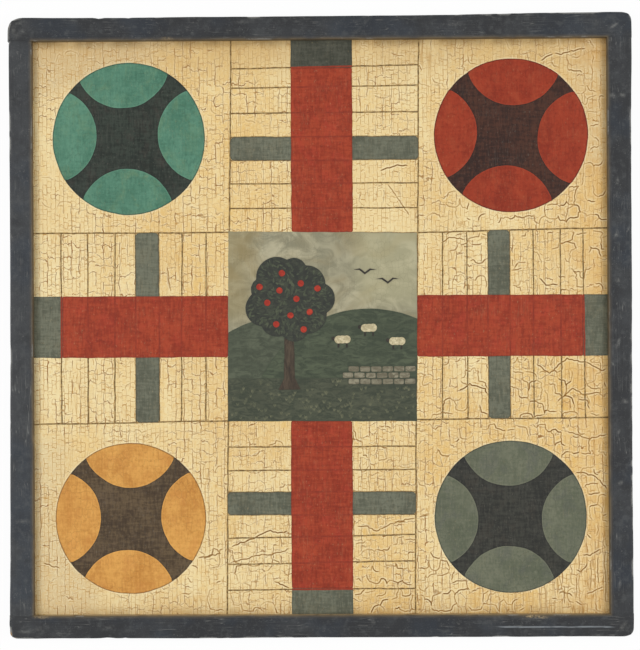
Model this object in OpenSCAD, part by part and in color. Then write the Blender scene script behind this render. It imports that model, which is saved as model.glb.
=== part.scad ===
// Folk-art game board for a cross-and-circle race game.
// Three tongue-and-groove pine planks lie inside a nailed, half-lapped frame that stands
// proud of them. The field is laid out in hand-painted coats over a cream ground.
// Millimetres. The board lies flat, face up: +X to the right of the playing face, +Y to its
// top, +Z up. The origin is the middle of the underside.

/* [Field] */
// Width of the field inside the frame
field_w = 457.2; // [430:0.1:500]
// Height of the field inside the frame
field_h = 457.2; // [430:0.1:500]

/* [Planks] */
// Thickness of the planks
plank_t = 12.7; // [10:0.1:16]
// Width of the left plank's face
left_plank_w = 152.4; // [120:0.1:180]
// Width of the right plank's face
right_plank_w = 152.4; // [120:0.1:180]
// Thickness of the tongues
tongue_t = 4.2; // [3:0.1:6]
// How far a tongue reaches into its neighbour
tongue_w = 6.4; // [4:0.1:9]
// Room left in the groove beyond the tongue's end
groove_room = 0.4; // [0.2:0.1:1]
// Bevel along the underside of each seam
seam_bevel = 0.8; // [0.3:0.1:2]

/* [Frame] */
// Width of the frame strips, seen from above
strip_w = 18.6; // [15:0.1:26]
// Height of the frame strips
strip_h = 19.05; // [17.5:0.05:26]
// Thickness of the rails where they pass over the stiles
lap_t = 9.5; // [6:0.1:12]
// How far the rails' ends stand past the stiles
rail_proud = 0.4; // [0:0.1:2]
// Rounding of the strips' upper edges
top_round = 1.6; // [0.5:0.1:3]
// Rounding of the frame's four outer corners, seen from above
corner_r = 5; // [1:0.5:10]
// Bevel along the strips' lower outer edge
foot_bevel = 0.8; // [0.3:0.1:2]

/* [Nails] */
// Shank diameter of the nails
nail_d = 1.8; // [1.2:0.1:2.6]
// Head diameter of the nails
nail_head_d = 3.6; // [3:0.1:5]
// Thickness of the nail heads
nail_head_t = 0.8; // [0.5:0.1:1.2]
// Length of a nail's point
nail_point = 3; // [1.5:0.1:5]
// How deep the heads are punched below the wood
nail_sink = 0.5; // [0.2:0.1:1.2]
// Length of the nails that hold the frame to the planks
frame_nail_len = 38; // [30:0.5:50]
// Length of the nails that pin the corner laps
lap_nail_len = 15.5; // [11:0.5:16]
// Nails through each stile
stile_nail_count = 4; // [2:1:6]
// Distance from the outermost stile nails to the ends of the field
stile_nail_end = 57; // [30:1:90]
// Nails through a rail into each plank
plank_nail_count = 2; // [1:1:2]
// Distance between the nails in one plank
plank_nail_gap = 84; // [40:1:95]
// Distance of each corner nail from the lap's middle, both ways
lap_nail_off = 4; // [2.5:0.1:5]

/* [Paint] */
// Thickness of the cream ground coat
ground_t = 0.4; // [0.2:0.05:0.8]
// Thickness of the colour coats
coat_t = 0.2; // [0.1:0.05:0.4]
// Thickness of the ruled lines
line_t = 0.1; // [0.05:0.05:0.2]
// Width of the four long ruled lines
long_line_w = 1.1; // [0.6:0.1:2]
// Width of the lines between spaces
space_line_w = 0.8; // [0.5:0.1:1.6]

/* [Layout] */
// Width of the centre picture
picture_w = 150.4; // [140:0.1:170]
// Height of the centre picture
picture_h = 150.7; // [140:0.1:170]
// How far the painted layout sits to the right of the field's middle
layout_dx = 1.3; // [-3:0.1:3]
// How far the painted layout sits above the field's middle
layout_dy = 0.5; // [-3:0.1:3]
// Width of the red tracks
track_w = 48.9; // [40:0.1:56]
// How far the end spaces' paint runs past their first ruled line
end_over = 0.8; // [0:0.1:3]
// Spaces along each arm
arm_rows = 8; // [6:1:8]
// Which space from the frame is the safe one
safe_row = 5; // [3:1:5]
// Corner rounding of the safe spaces
safe_r = 3; // [1:0.5:6]

/* [Home discs] */
// Diameter of the home discs
disc_d = 121; // [100:0.5:130]
// Distance of a disc's centre from both sides of the field beside it
disc_inset = 76.8; // [68:0.1:82]
// Compass radius of the lenses
lens_r = 38; // [30:0.5:42]
// How far a lens reaches in from the disc's rim
lens_depth = 36; // [28:0.5:38]

/* [Centre picture] */
// Height of the skyline above the picture's middle
skyline = 6; // [-10:0.5:20]
// Radius of the near hill's back
near_hill_r = 95; // [80:1:140]
// Radius of the far hill's back
far_hill_r = 70; // [50:1:100]
// Height of the meadow from the picture's lower edge
meadow_h = 34; // [20:0.5:45]
// Distance of the tree's trunk to the left of the picture's middle
tree_x = 26; // [10:0.5:40]
// Width of the tree's trunk where it leaves the meadow
trunk_w = 9; // [6:0.5:14]
// Height of the crown's middle above the picture's middle
crown_y = 22; // [10:0.5:32]
// Radius of the crown's middle clump
crown_r = 21; // [14:0.5:26]
// Radius of the clumps around the crown
clump_r = 13; // [8:0.5:18]
// Radius of an apple
apple_r = 2.6; // [1.5:0.1:4]
// Length of the dry-stone wall
wall_len = 62; // [40:0.5:80]
// Height of one course of stones
course_h = 5; // [3:0.1:7]
// Width of one stone
stone_w = 9; // [6:0.1:14]
// Joint between stones
stone_gap = 0.8; // [0.4:0.1:1.5]
// Length of a sheep's body
sheep_len = 13; // [8:0.5:18]
// Length of one wing of a bird
wing_len = 9; // [6:0.5:12]

/* [Hidden] */
$fn = 64;

// Heights of the layers
ground_z = plank_t;
coat_z = ground_z + ground_t;

// Plank seams
seam_left = -field_w / 2 + left_plank_w;
seam_right = field_w / 2 - right_plank_w;
tongue_z = (plank_t - tongue_t) / 2;

// Outer size of the frame and the height at which the corner laps part
stile_outer = field_w / 2 + strip_w;
rail_len = 2 * (stile_outer + rail_proud);
rail_outer = field_h / 2 + strip_w;
lap_z = strip_h - lap_t;
nail_z = plank_t / 2;

// Painted layout: the picture's edges
pic_l = layout_dx - picture_w / 2;
pic_r = layout_dx + picture_w / 2;
pic_b = layout_dy - picture_h / 2;
pic_t = layout_dy + picture_h / 2;

// How far each hand-ruled line strays from an even step, as a share of the step, from the
// frame inwards
stray_top = [0.11, -0.06, 0.02, 0.03, 0, -0.02, 0.01];
stray_bottom = [0.02, 0.12, 0.21, 0.11, 0.05, -0.04, -0.07];
stray_left = [0.13, 0.23, 0.35, 0.21, 0.17, 0.11, 0.11];
stray_right = [-0.02, -0.06, 0.09, 0.08, -0.02, -0.14, -0.10];

// Lean of those lines in degrees, anticlockwise in the arm's own coordinates
lean_top = [-0.8, -0.6, -0.2, 0, 0, -0.1, 0.1];
lean_bottom = [0.4, 1, 1, 0, 0, 0.25, 0];
lean_left = [-0.1, 0, 0.4, 0, 0, 0.5, 0.3];
lean_right = [0.5, 0.25, 0, 0, 0, 0.1, -0.3];

// How far the four long lines stray towards +X or +Y from the picture's even sides, as shares
// of the picture: at the frame, at the picture's two corners and at the frame again
stray_left_line = [-0.009, 0.001, 0.012, 0.025];
stray_right_line = [-0.012, -0.003, 0.011, 0.021];
stray_bottom_line = [-0.013, 0.002, 0.004, 0.012];
stray_top_line = [0, -0.001, -0.008, 0.013];

// How far the picture's corners stray in X and in Y, as shares of it: lower left, lower right,
// upper right, upper left
corner_stray = [[0, 0], [0.001, -0.004], [0.007, -0.008], [0.007, 0.005]];

// How far the tracks stray to their side, as shares of their width: top, bottom, left, right
track_stray = [0.012, -0.011, 0.004, -0.002];

// Home discs, as painted by hand. Each row: side of the field in X and in Y, then how far
// the disc strays from its even place in X, in Y and in diameter, as shares of its diameter
disc_places = [
    [-1, 1, -0.003, -0.007, 0.004],
    [1, 1, 0.008, 0, 0.009],
    [-1, -1, 0, -0.002, -0.009],
    [1, -1, -0.008, 0.001, -0.001]
];
// How far each lens strays in depth, as a share of its depth: right, top, left, bottom
lens_depth_stray = [
    [0.04, 0, -0.03, 0.02],
    [0.11, 0.03, -0.06, 0.02],
    [-0.01, -0.02, 0, -0.04],
    [-0.01, 0, -0.04, 0.03]
];
// How far each lens strays round the disc, in degrees anticlockwise
lens_turn_stray = [
    [3, 4.5, -2.5, -1.5],
    [-2.5, -2, -2, -4],
    [1.5, 0.5, -0.5, -2.5],
    [-2, 1.5, 2, -1.5]
];

cream = [0.88, 0.80, 0.62];
red = [0.62, 0.21, 0.15];
green_grey = [0.39, 0.43, 0.38];
slate_black = [0.26, 0.27, 0.29];
dark_brown = [0.24, 0.20, 0.18];
pine = [0.72, 0.57, 0.38];
iron = [0.35, 0.33, 0.32];

// Profile of a plank lying along Y: X to the right, Z up. A seam has a groove on the left
// plank's side and a tongue on the right plank's side
module plank(x_left, x_right, tongue, groove) {
    span = x_right - x_left;
    bevel_l = tongue ? seam_bevel : 0;
    bevel_r = groove ? seam_bevel : 0;
    translate([x_left, field_h / 2, 0])
        rotate([90, 0, 0])
            linear_extrude(field_h)
                difference() {
                    union() {
                        polygon([
                            [bevel_l, 0], [span - bevel_r, 0], [span, bevel_r],
                            [span, plank_t], [0, plank_t], [0, bevel_l]
                        ]);
                        if (tongue)
                            translate([-tongue_w, tongue_z])
                                square([tongue_w + 1, tongue_t]);
                    }
                    if (groove)
                        translate([span - tongue_w - groove_room, tongue_z])
                            square([tongue_w + groove_room + 1, tongue_t]);
                }
}

// A wire nail along -Z: the head's top is at the origin
module nail(len) {
    rotate_extrude()
        polygon([
            [0, 0], [nail_head_d / 2, 0], [nail_head_d / 2, -nail_head_t],
            [nail_d / 2, -nail_head_t], [nail_d / 2, nail_point - len], [0, -len]
        ]);
}

// A nail with the punched hole above its head, for cutting the wood
module nail_hole(len) {
    nail(len);
    translate([0, 0, -nail_head_t / 2])
        cylinder(d = nail_head_d, h = nail_head_t / 2 + nail_sink + 1);
}

// Places of the nails. Each module puts its child with the head towards +Z
module at_rail_nails(side) {
    centres = [
        (seam_left - field_w / 2) / 2, (seam_left + seam_right) / 2,
        (seam_right + field_w / 2) / 2
    ];
    for (x = centres, i = [0 : plank_nail_count - 1])
        translate([
            x + (i - (plank_nail_count - 1) / 2) * plank_nail_gap,
            side * (rail_outer - nail_sink), nail_z
        ])
            rotate([-side * 90, 0, 0])
                children();
}

module at_stile_nails(side) {
    run = field_h - 2 * stile_nail_end;
    for (i = [0 : stile_nail_count - 1])
        translate([
            side * (stile_outer - nail_sink),
            -run / 2 + i * run / (stile_nail_count - 1), nail_z
        ])
            rotate([0, side * 90, 0])
                children();
}

module at_corner_nails() {
    for (sx = [-1, 1], sy = [-1, 1], k = [-1, 1])
        translate([
            sx * (field_w + strip_w) / 2 + k * sx * lap_nail_off,
            sy * (field_h + strip_w) / 2 - k * sy * lap_nail_off, nail_sink
        ])
            rotate([180, 0, 0])
                children();
}

module all_nail_holes() {
    for (side = [-1, 1]) {
        at_rail_nails(side) nail_hole(frame_nail_len);
        at_stile_nails(side) nail_hole(frame_nail_len);
    }
    at_corner_nails() nail_hole(lap_nail_len);
}

module plank_left() {
    color(pine)
        difference() {
            plank(-field_w / 2, seam_left, false, true);
            all_nail_holes();
        }
}

module plank_centre() {
    color(pine)
        difference() {
            plank(seam_left, seam_right, true, true);
            all_nail_holes();
        }
}

module plank_right() {
    color(pine)
        difference() {
            plank(seam_right, field_w / 2, true, false);
            all_nail_holes();
        }
}

// Cross-section of a frame strip: outer face at 0, inner face at strip_w, underside at 0
module strip_profile() {
    r = top_round;
    polygon([
        [foot_bevel, 0], [strip_w, 0], [strip_w, strip_h - r], [0, strip_h - r],
        [0, foot_bevel]
    ]);
    translate([r, strip_h - r - 0.01])
        square([strip_w - 2 * r, r + 0.01]);
    for (x = [r, strip_w - r])
        translate([x, strip_h - r])
            circle(r);
}

// Rounded rectangle seen from above, as wide as the rails are long
module frame_plan(half_w, half_h) {
    r = corner_r;
    square([2 * half_w, 2 * (half_h - r)], center = true);
    square([2 * (half_w - r), 2 * half_h], center = true);
    for (sx = [-1, 1], sy = [-1, 1])
        translate([sx * (half_w - r), sy * (half_h - r)])
            circle(r);
}

module rail(side) {
    color(slate_black)
        difference() {
            intersection() {
                translate([side * rail_len / 2, side * rail_outer, 0])
                    rotate([90, 0, -side * 90])
                        linear_extrude(rail_len)
                            strip_profile();
                linear_extrude(strip_h + 1)
                    frame_plan(rail_len / 2, rail_outer);
            }
            for (sx = [-1, 1])
                translate([
                    sx > 0 ? field_w / 2 : -rail_len / 2 - 1,
                    side > 0 ? field_h / 2 - 1 : -rail_outer - 1, -1
                ])
                    cube([rail_len / 2 - field_w / 2 + 1, strip_w + 2, lap_z + 1]);
            all_nail_holes();
        }
}

module stile(side) {
    color(slate_black)
        difference() {
            intersection() {
                translate([side * stile_outer, -side * rail_outer, 0])
                    rotate([90, 0, side > 0 ? 180 : 0])
                        linear_extrude(2 * rail_outer)
                            strip_profile();
                linear_extrude(strip_h + 1)
                    frame_plan(stile_outer, rail_outer);
            }
            for (sy = [-1, 1])
                translate([
                    side > 0 ? field_w / 2 - 1 : -stile_outer - 1,
                    sy > 0 ? field_h / 2 : -rail_outer - 1, lap_z
                ])
                    cube([strip_w + 2, strip_w + 1, lap_t + 1]);
            all_nail_holes();
        }
}

module rail_nails() {
    color(iron)
        for (side = [-1, 1])
            at_rail_nails(side) nail(frame_nail_len);
}

module stile_nails() {
    color(iron)
        for (side = [-1, 1])
            at_stile_nails(side) nail(frame_nail_len);
}

module corner_nails() {
    color(iron)
        at_corner_nails() nail(lap_nail_len);
}

// The cream ground covers the whole field, up to the frame
module ground_coat() {
    color(cream)
        translate([0, 0, ground_z])
            linear_extrude(ground_t)
                square([field_w, field_h], center = true);
}

// Arms are numbered 0 top, 1 bottom, 2 left, 3 right. In an arm's own coordinates the first
// runs across the arm, along +X or +Y of the board, and the second from the frame inwards
module at_arm(k) {
    if (k == 0)
        translate([0, field_h / 2]) mirror([0, 1]) children();
    if (k == 1)
        translate([0, -field_h / 2]) children();
    if (k == 2)
        translate([-field_w / 2, 0]) mirror([1, -1]) children();
    if (k == 3)
        translate([field_w / 2, 0]) rotate(90) children();
}

arm_len = [
    field_h / 2 - pic_t, field_h / 2 + pic_b, field_w / 2 + pic_l, field_w / 2 - pic_r
];
arm_axis = [
    layout_dx + track_stray[0] * track_w, layout_dx + track_stray[1] * track_w,
    layout_dy + track_stray[2] * track_w, layout_dy + track_stray[3] * track_w
];
arm_stray = [stray_top, stray_bottom, stray_left, stray_right];
arm_lean = [lean_top, lean_bottom, lean_left, lean_right];

// Four places along each long line, and where the line runs at them
along_x = [-field_w / 2, pic_l, pic_r, field_w / 2];
along_y = [-field_h / 2, pic_b, pic_t, field_h / 2];
left_line = [for (s = stray_left_line) pic_l + s * picture_w];
right_line = [for (s = stray_right_line) pic_r + s * picture_w];
bottom_line = [for (s = stray_bottom_line) pic_b + s * picture_h];
top_line = [for (s = stray_top_line) pic_t + s * picture_h];

// The arm's two side lines where they pass the middle of the arm
arm_low = [
    (left_line[2] + left_line[3]) / 2, (left_line[0] + left_line[1]) / 2,
    (bottom_line[0] + bottom_line[1]) / 2, (bottom_line[2] + bottom_line[3]) / 2
];
arm_high = [
    (right_line[2] + right_line[3]) / 2, (right_line[0] + right_line[1]) / 2,
    (top_line[0] + top_line[1]) / 2, (top_line[2] + top_line[3]) / 2
];

// Distance of ruled line i from the frame
function line_at(k, i) =
    i == 0 ? 0 : i == arm_rows ? arm_len[k] : (i + arm_stray[k][i - 1]) * arm_len[k] / arm_rows;

module box_2d(x0, y0, x1, y1) {
    translate([x0, y0])
        square([x1 - x0, y1 - y0]);
}

// A track runs from its end space to the picture's side, whichever way that leans
module track_2d(k) {
    half = track_w / 2;
    difference() {
        at_arm(k)
            box_2d(
                arm_axis[k] - half, line_at(k, 1) + end_over, arm_axis[k] + half,
                arm_len[k] + half
            );
        picture_2d();
    }
}

module end_space_2d(k) {
    half = track_w / 2;
    at_arm(k)
        box_2d(arm_axis[k] - half, 0, arm_axis[k] + half, line_at(k, 1) + end_over);
}

// One safe space: a bar with two rounded corners at its far end, lying along +X
module safe_bar_2d(len, wide) {
    square([len - safe_r, wide]);
    translate([0, safe_r])
        square([len, wide - 2 * safe_r]);
    for (y = [safe_r, wide - safe_r])
        translate([len - safe_r, y])
            circle(safe_r);
}

module safe_spaces_2d(k) {
    v = line_at(k, safe_row - 1);
    wide = line_at(k, safe_row) - v;
    at_arm(k) {
        translate([arm_axis[k] + track_w / 2, v])
            safe_bar_2d(arm_high[k] - arm_axis[k] - track_w / 2, wide);
        translate([arm_axis[k] - track_w / 2, v])
            mirror([1, 0])
                safe_bar_2d(arm_axis[k] - track_w / 2 - arm_low[k], wide);
    }
}

function disc_centre(k) = [
    disc_places[k][0] * (field_w / 2 - disc_inset) + disc_places[k][2] * disc_d,
    disc_places[k][1] * (field_h / 2 - disc_inset) + disc_places[k][3] * disc_d
];
function disc_radius(k) = disc_d * (1 + disc_places[k][4]) / 2;

module lens_circles_2d(k) {
    for (i = [0 : 3])
        rotate(90 * i + lens_turn_stray[k][i])
            translate([disc_radius(k) - lens_depth * (1 + lens_depth_stray[k][i]) + lens_r, 0])
                circle(lens_r);
}

module disc_cross_2d(k) {
    translate(disc_centre(k))
        difference() {
            circle(disc_radius(k));
            lens_circles_2d(k);
        }
}

module disc_lenses_2d(k) {
    translate(disc_centre(k))
        intersection() {
            circle(disc_radius(k));
            lens_circles_2d(k);
        }
}

// Place of the picture's corner i
function picture_corner(i) = [
    (i == 1 || i == 2 ? pic_r : pic_l) + corner_stray[i][0] * picture_w,
    (i > 1 ? pic_t : pic_b) + corner_stray[i][1] * picture_h
];

module picture_2d() {
    polygon([for (i = [0 : 3]) picture_corner(i)]);
}

module painted_2d() {
    picture_2d();
    for (k = [0 : 3]) {
        track_2d(k);
        end_space_2d(k);
        safe_spaces_2d(k);
    }
}

// The stretch between two lines that run along +Y
module between_2d(low, high, along) {
    polygon(concat(
        [for (i = [0 : 3]) [high[i], along[i]]], [for (i = [3 : -1 : 0]) [low[i], along[i]]]
    ));
}

// A ruled line along +Y
module ruled_2d(line, along) {
    half = long_line_w / 2;
    between_2d([for (x = line) x - half], [for (x = line) x + half], along);
}

module long_lines_2d() {
    ruled_2d(left_line, along_y);
    ruled_2d(right_line, along_y);
    mirror([1, -1]) {
        ruled_2d(bottom_line, along_x);
        ruled_2d(top_line, along_x);
    }
}

// The board between the arm's two side lines
module arm_strip_2d(k) {
    if (k < 2)
        between_2d(left_line, right_line, along_y);
    else
        mirror([1, -1]) between_2d(bottom_line, top_line, along_x);
}

module long_lines() {
    color(dark_brown)
        translate([0, 0, coat_z])
            linear_extrude(line_t)
                difference() {
                    long_lines_2d();
                    painted_2d();
                }
}

module space_lines() {
    color(dark_brown)
        translate([0, 0, coat_z])
            linear_extrude(line_t)
                difference() {
                    for (k = [0 : 3])
                        intersection() {
                            arm_strip_2d(k);
                            for (i = [1 : arm_rows - 1])
                                at_arm(k)
                                    translate([arm_axis[k], line_at(k, i)])
                                        rotate(arm_lean[k][i - 1])
                                            square([2 * picture_w, space_line_w], true);
                        }
                    long_lines_2d();
                    painted_2d();
                }
}

module coat(tint) {
    color(tint)
        translate([0, 0, coat_z])
            linear_extrude(coat_t)
                children();
}

// Motifs of the centre picture, from the back to the front, about the picture's middle
far_hill_x = -picture_w / 4;
near_hill_x = picture_w / 4;
meadow_top = meadow_h - picture_h / 2;
wall_right = picture_w / 2;
wall_courses = 3;
clump_count = 9;
apple_count = 11;
golden_angle = 137.5;

module far_hill_2d() {
    translate([far_hill_x, skyline - far_hill_r])
        circle(far_hill_r);
}

module near_hill_2d() {
    translate([near_hill_x, skyline + near_hill_r / 12 - near_hill_r])
        circle(near_hill_r);
}

module meadow_2d() {
    box_2d(-picture_w / 2, -picture_h / 2, picture_w / 2, meadow_top);
}

module stones_2d() {
    for (row = [0 : wall_courses - 1])
        for (x = [(row % 2) * stone_w / 2 : stone_w : wall_len - stone_w])
            translate([wall_right - x - stone_w, meadow_top - course_h + row * course_h])
                square([stone_w - stone_gap, course_h - stone_gap]);
}

module trunk_2d() {
    polygon([
        [-tree_x - trunk_w, meadow_top - trunk_w], [-tree_x + trunk_w, meadow_top - trunk_w],
        [-tree_x + trunk_w / 2, meadow_top], [-tree_x + trunk_w / 3, crown_y],
        [-tree_x - trunk_w / 3, crown_y], [-tree_x - trunk_w / 2, meadow_top]
    ]);
}

// Clumps of leaves round the middle one, uneven by a fixed rule
module crown_2d() {
    translate([-tree_x, crown_y]) {
        circle(crown_r);
        for (i = [0 : clump_count - 1])
            rotate(i * 360 / clump_count)
                translate([crown_r * (1 + 0.12 * cos(i * 200)), 0])
                    circle(clump_r * (1 + 0.25 * sin(i * 150)));
    }
}

module apples_2d() {
    reach = (crown_r + clump_r / 2) / sqrt(apple_count);
    for (i = [0 : apple_count - 1])
        translate([-tree_x, crown_y])
            rotate(i * golden_angle)
                translate([reach * sqrt(i + 0.5), 0])
                    circle(apple_r);
}

// Where the sheep stand on the near hill and where the birds fly, as shares of the picture
sheep_at = [[0.11, -0.07], [0.25, -0.01], [0.40, -0.08]];
birds_at = [[0.23, 0.29], [0.35, 0.24]];

module fleeces_2d() {
    for (p = sheep_at)
        translate([p[0] * picture_w, p[1] * picture_h])
            for (x = [-1, 0, 1])
                translate([x * sheep_len / 4, 0])
                    circle(sheep_len / 4);
}

// The sheep's faces and legs, and two birds over the hill
module dark_details_2d() {
    for (p = sheep_at)
        translate([p[0] * picture_w, p[1] * picture_h]) {
            translate([-sheep_len / 2 - sheep_len / 16, sheep_len / 16])
                circle(sheep_len / 8);
            for (x = [-1, 1])
                translate([x * sheep_len / 4 - sheep_len / 20, -sheep_len / 2])
                    square([sheep_len / 10, sheep_len / 2]);
        }
    for (p = birds_at, s = [0, 1])
        translate([p[0] * picture_w, p[1] * picture_h])
            mirror([s, 0])
                polygon(wing_len * [[0, -0.1], [0.45, 0.25], [1, 0.15], [0.5, 0.1], [0, -0.3]]);
}

// Motif i, from 0 at the back to 8 at the front
module motif_2d(i) {
    if (i == 0) far_hill_2d();
    if (i == 1) near_hill_2d();
    if (i == 2) meadow_2d();
    if (i == 3) dark_details_2d();
    if (i == 4) fleeces_2d();
    if (i == 5) stones_2d();
    if (i == 6) trunk_2d();
    if (i == 7) crown_2d();
    if (i == 8) apples_2d();
}
front_motif = 8;

// What shows of motif i between the ones before it
module picture_coat(i, tint) {
    coat(tint)
        difference() {
            intersection() {
                translate([layout_dx, layout_dy])
                    motif_2d(i);
                picture_2d();
            }
            translate([layout_dx, layout_dy])
                for (j = [i + 1 : 1 : front_motif])
                    motif_2d(j);
        }
}

module picture_sky() {
    coat([0.55, 0.55, 0.47])
        difference() {
            picture_2d();
            translate([layout_dx, layout_dy])
                for (j = [0 : front_motif])
                    motif_2d(j);
        }
}

module red_track(k) {
    coat(red) track_2d(k);
}

module end_space(k) {
    coat(green_grey) end_space_2d(k);
}

module safe_spaces(k) {
    coat(green_grey) safe_spaces_2d(k);
}

module cross(k) {
    coat(dark_brown) disc_cross_2d(k);
}

module lenses(k, tint) {
    coat(tint) disc_lenses_2d(k);
}

plank_left();
plank_centre();
plank_right();
rail(1);  // rail_top
rail(-1);  // rail_bottom
stile(-1);  // stile_left
stile(1);  // stile_right
rail_nails();
stile_nails();
corner_nails();
ground_coat();
long_lines();
space_lines();
red_track(0);  // red_track_top
red_track(1);  // red_track_bottom
red_track(2);  // red_track_left
red_track(3);  // red_track_right
end_space(0);  // end_space_top
end_space(1);  // end_space_bottom
end_space(2);  // end_space_left
end_space(3);  // end_space_right
safe_spaces(0);  // safe_spaces_top
safe_spaces(1);  // safe_spaces_bottom
safe_spaces(2);  // safe_spaces_left
safe_spaces(3);  // safe_spaces_right
cross(0);  // cross_green
cross(1);  // cross_red
cross(2);  // cross_ochre
cross(3);  // cross_slate
lenses(0, [0.32, 0.56, 0.46]);  // lenses_green
lenses(1, red);  // lenses_red
lenses(2, [0.82, 0.59, 0.29]);  // lenses_ochre
lenses(3, [0.41, 0.45, 0.41]);  // lenses_slate
picture_sky();
picture_coat(0, [0.30, 0.35, 0.31]);  // picture_far_hill
picture_coat(1, [0.26, 0.32, 0.28]);  // picture_near_hill
picture_coat(2, [0.28, 0.35, 0.30]);  // picture_meadow
picture_coat(3, [0.18, 0.17, 0.16]);  // picture_dark_details
picture_coat(4, [0.86, 0.80, 0.62]);  // picture_fleeces
picture_coat(5, [0.52, 0.50, 0.43]);  // picture_wall
picture_coat(6, [0.25, 0.21, 0.18]);  // picture_trunk
picture_coat(7, [0.21, 0.21, 0.20]);  // picture_crown
picture_coat(8, [0.68, 0.19, 0.14]);  // picture_apples
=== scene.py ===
"""The looks of the game board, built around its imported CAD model.

The frame's directions hold: +X to the right of the playing face, +Y to its top, +Z up. The
plane work is done in millimetres, and meshes are written in metres.
"""

import math

import bmesh
import bpy
import numpy as np
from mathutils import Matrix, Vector, geometry, kdtree


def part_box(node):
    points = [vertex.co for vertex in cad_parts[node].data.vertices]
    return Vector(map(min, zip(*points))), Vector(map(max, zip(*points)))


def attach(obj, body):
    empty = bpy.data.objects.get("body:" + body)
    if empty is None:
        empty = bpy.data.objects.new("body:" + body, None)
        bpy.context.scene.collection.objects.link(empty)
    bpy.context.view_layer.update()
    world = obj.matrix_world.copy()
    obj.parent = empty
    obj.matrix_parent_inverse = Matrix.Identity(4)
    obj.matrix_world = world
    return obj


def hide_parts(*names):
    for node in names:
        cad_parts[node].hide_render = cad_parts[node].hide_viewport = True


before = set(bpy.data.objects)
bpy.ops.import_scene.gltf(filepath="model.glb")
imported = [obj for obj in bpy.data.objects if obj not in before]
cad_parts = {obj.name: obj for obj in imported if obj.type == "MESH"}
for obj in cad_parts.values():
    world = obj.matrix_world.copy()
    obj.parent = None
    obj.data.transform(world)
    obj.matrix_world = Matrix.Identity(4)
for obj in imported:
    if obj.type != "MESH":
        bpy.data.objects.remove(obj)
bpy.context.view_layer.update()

MM = 0.001


def top_of(node):
    """Height of a node's upper face in millimetres."""
    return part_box(node)[1].z / MM


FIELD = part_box("ground_coat")[1].x / MM
SEAM = -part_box("plank_left")[1].x / MM
PLANK_TOP = top_of("plank_left")
GROUND_TOP = top_of("ground_coat")
COAT_TOP = top_of("cross_green")
LINE_TOP = top_of("long_lines")
FRAME_TOP = top_of("rail_top")
STILE_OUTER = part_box("stile_right")[1].x / MM
RAIL_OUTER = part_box("rail_top")[1].y / MM
RAIL_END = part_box("rail_top")[1].x / MM

# The hand's sway and shake in painted outlines, in millimetres
SWAY, SWAY_CELL = 0.24, 11.0
SHAKE, SHAKE_CELL = 0.09, 2.4

# Paint that comes this near the frame reaches this far under it
NEAR_FRAME, UNDER_FRAME = 0.3, 0.25

# Spacing of mesh points on the field, in millimetres
GRID = 3.0
OUTLINE_STEP = 1.3

# Noise and relief

# Side of the table of random values behind the noise
NOISE_SIDE = 256


def noise(u, v, cell_u, cell_v, seed):
    """Smooth noise from -1 to 1, with bumps of about cell_u by cell_v."""
    lattice = np.random.default_rng(seed).uniform(-1, 1, (NOISE_SIDE, NOISE_SIDE))
    a, b = np.asarray(u) / cell_u, np.asarray(v) / cell_v
    i, j = np.floor(a).astype(int), np.floor(b).astype(int)
    s, t = (share * share * (3 - 2 * share) for share in (a - i, b - j))
    i0, i1 = i % NOISE_SIDE, (i + 1) % NOISE_SIDE
    j0, j1 = j % NOISE_SIDE, (j + 1) % NOISE_SIDE
    low = lattice[i0, j0] * (1 - s) + lattice[i1, j0] * s
    high = lattice[i0, j1] * (1 - s) + lattice[i1, j1] * s
    return low * (1 - t) + high * t


def smooth(value, low, high):
    """0 below low, 1 above high, and a smooth step between them."""
    share = np.clip((value - low) / (high - low), 0, 1)
    return share * share * (3 - 2 * share)


def relief(x, y):
    """Height of the painted field about its plane: cupped planks, brushed paint and grain."""
    centre = np.where(x < -SEAM, -(FIELD + SEAM) / 2, np.where(x > SEAM, (FIELD + SEAM) / 2, 0))
    half = np.where(np.abs(x) > SEAM, (FIELD - SEAM) / 2, SEAM)
    crown = 0.10 * (1 - ((x - centre) / half) ** 2) - 0.06
    grain = 0.03 * noise(x, y, 6, 150, 21) + 0.02 * noise(x, y, 14, 40, 22)
    return crown + grain + 0.04 * noise(x, y, 55, 70, 23)


def warp(points):
    """The points as a hand would have painted them. Those at the frame reach under it."""
    x, y = points.T
    moved = points + np.column_stack([
        SWAY * noise(x, y, SWAY_CELL, SWAY_CELL, seed) + SHAKE * noise(x, y, SHAKE_CELL, SHAKE_CELL, seed + 1)
        for seed in (31, 33)
    ])
    at_frame = np.abs(points) > FIELD - NEAR_FRAME
    return np.where(at_frame, np.sign(points) * (FIELD + UNDER_FRAME), moved)


# Outlines in the plane

CORNER_TURN = math.radians(20)
# How many points are measured at a time
BATCH = 1500
# Points closer than this are one point to the triangulation
SAME_POINT = 1e-5


def outlines(node):
    """The loops round a CAD node's upper faces in millimetres, the material on their left."""
    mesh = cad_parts[node].data
    high = max(v.co.z for v in mesh.vertices)
    heads = {}
    for face in mesh.polygons:
        if face.normal.z < 0.99 or abs(face.center.z - high) > 1e-6:
            continue
        keys = [tuple(round(c / MM, 4) for c in mesh.vertices[i].co.xy) for i in face.vertices]
        for a, b in zip(keys, keys[1:] + keys[:1]):
            if a in heads.get(b, ()):
                heads[b].remove(a)
            else:
                heads.setdefault(a, []).append(b)
    loops = []
    while any(heads.values()):
        start = next(k for k, ends in heads.items() if ends)
        loop, at = [start], heads[start].pop()
        while at != start:
            loop.append(at)
            at = heads[at].pop()
        loops.append(np.array(loop))
    return loops


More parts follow.
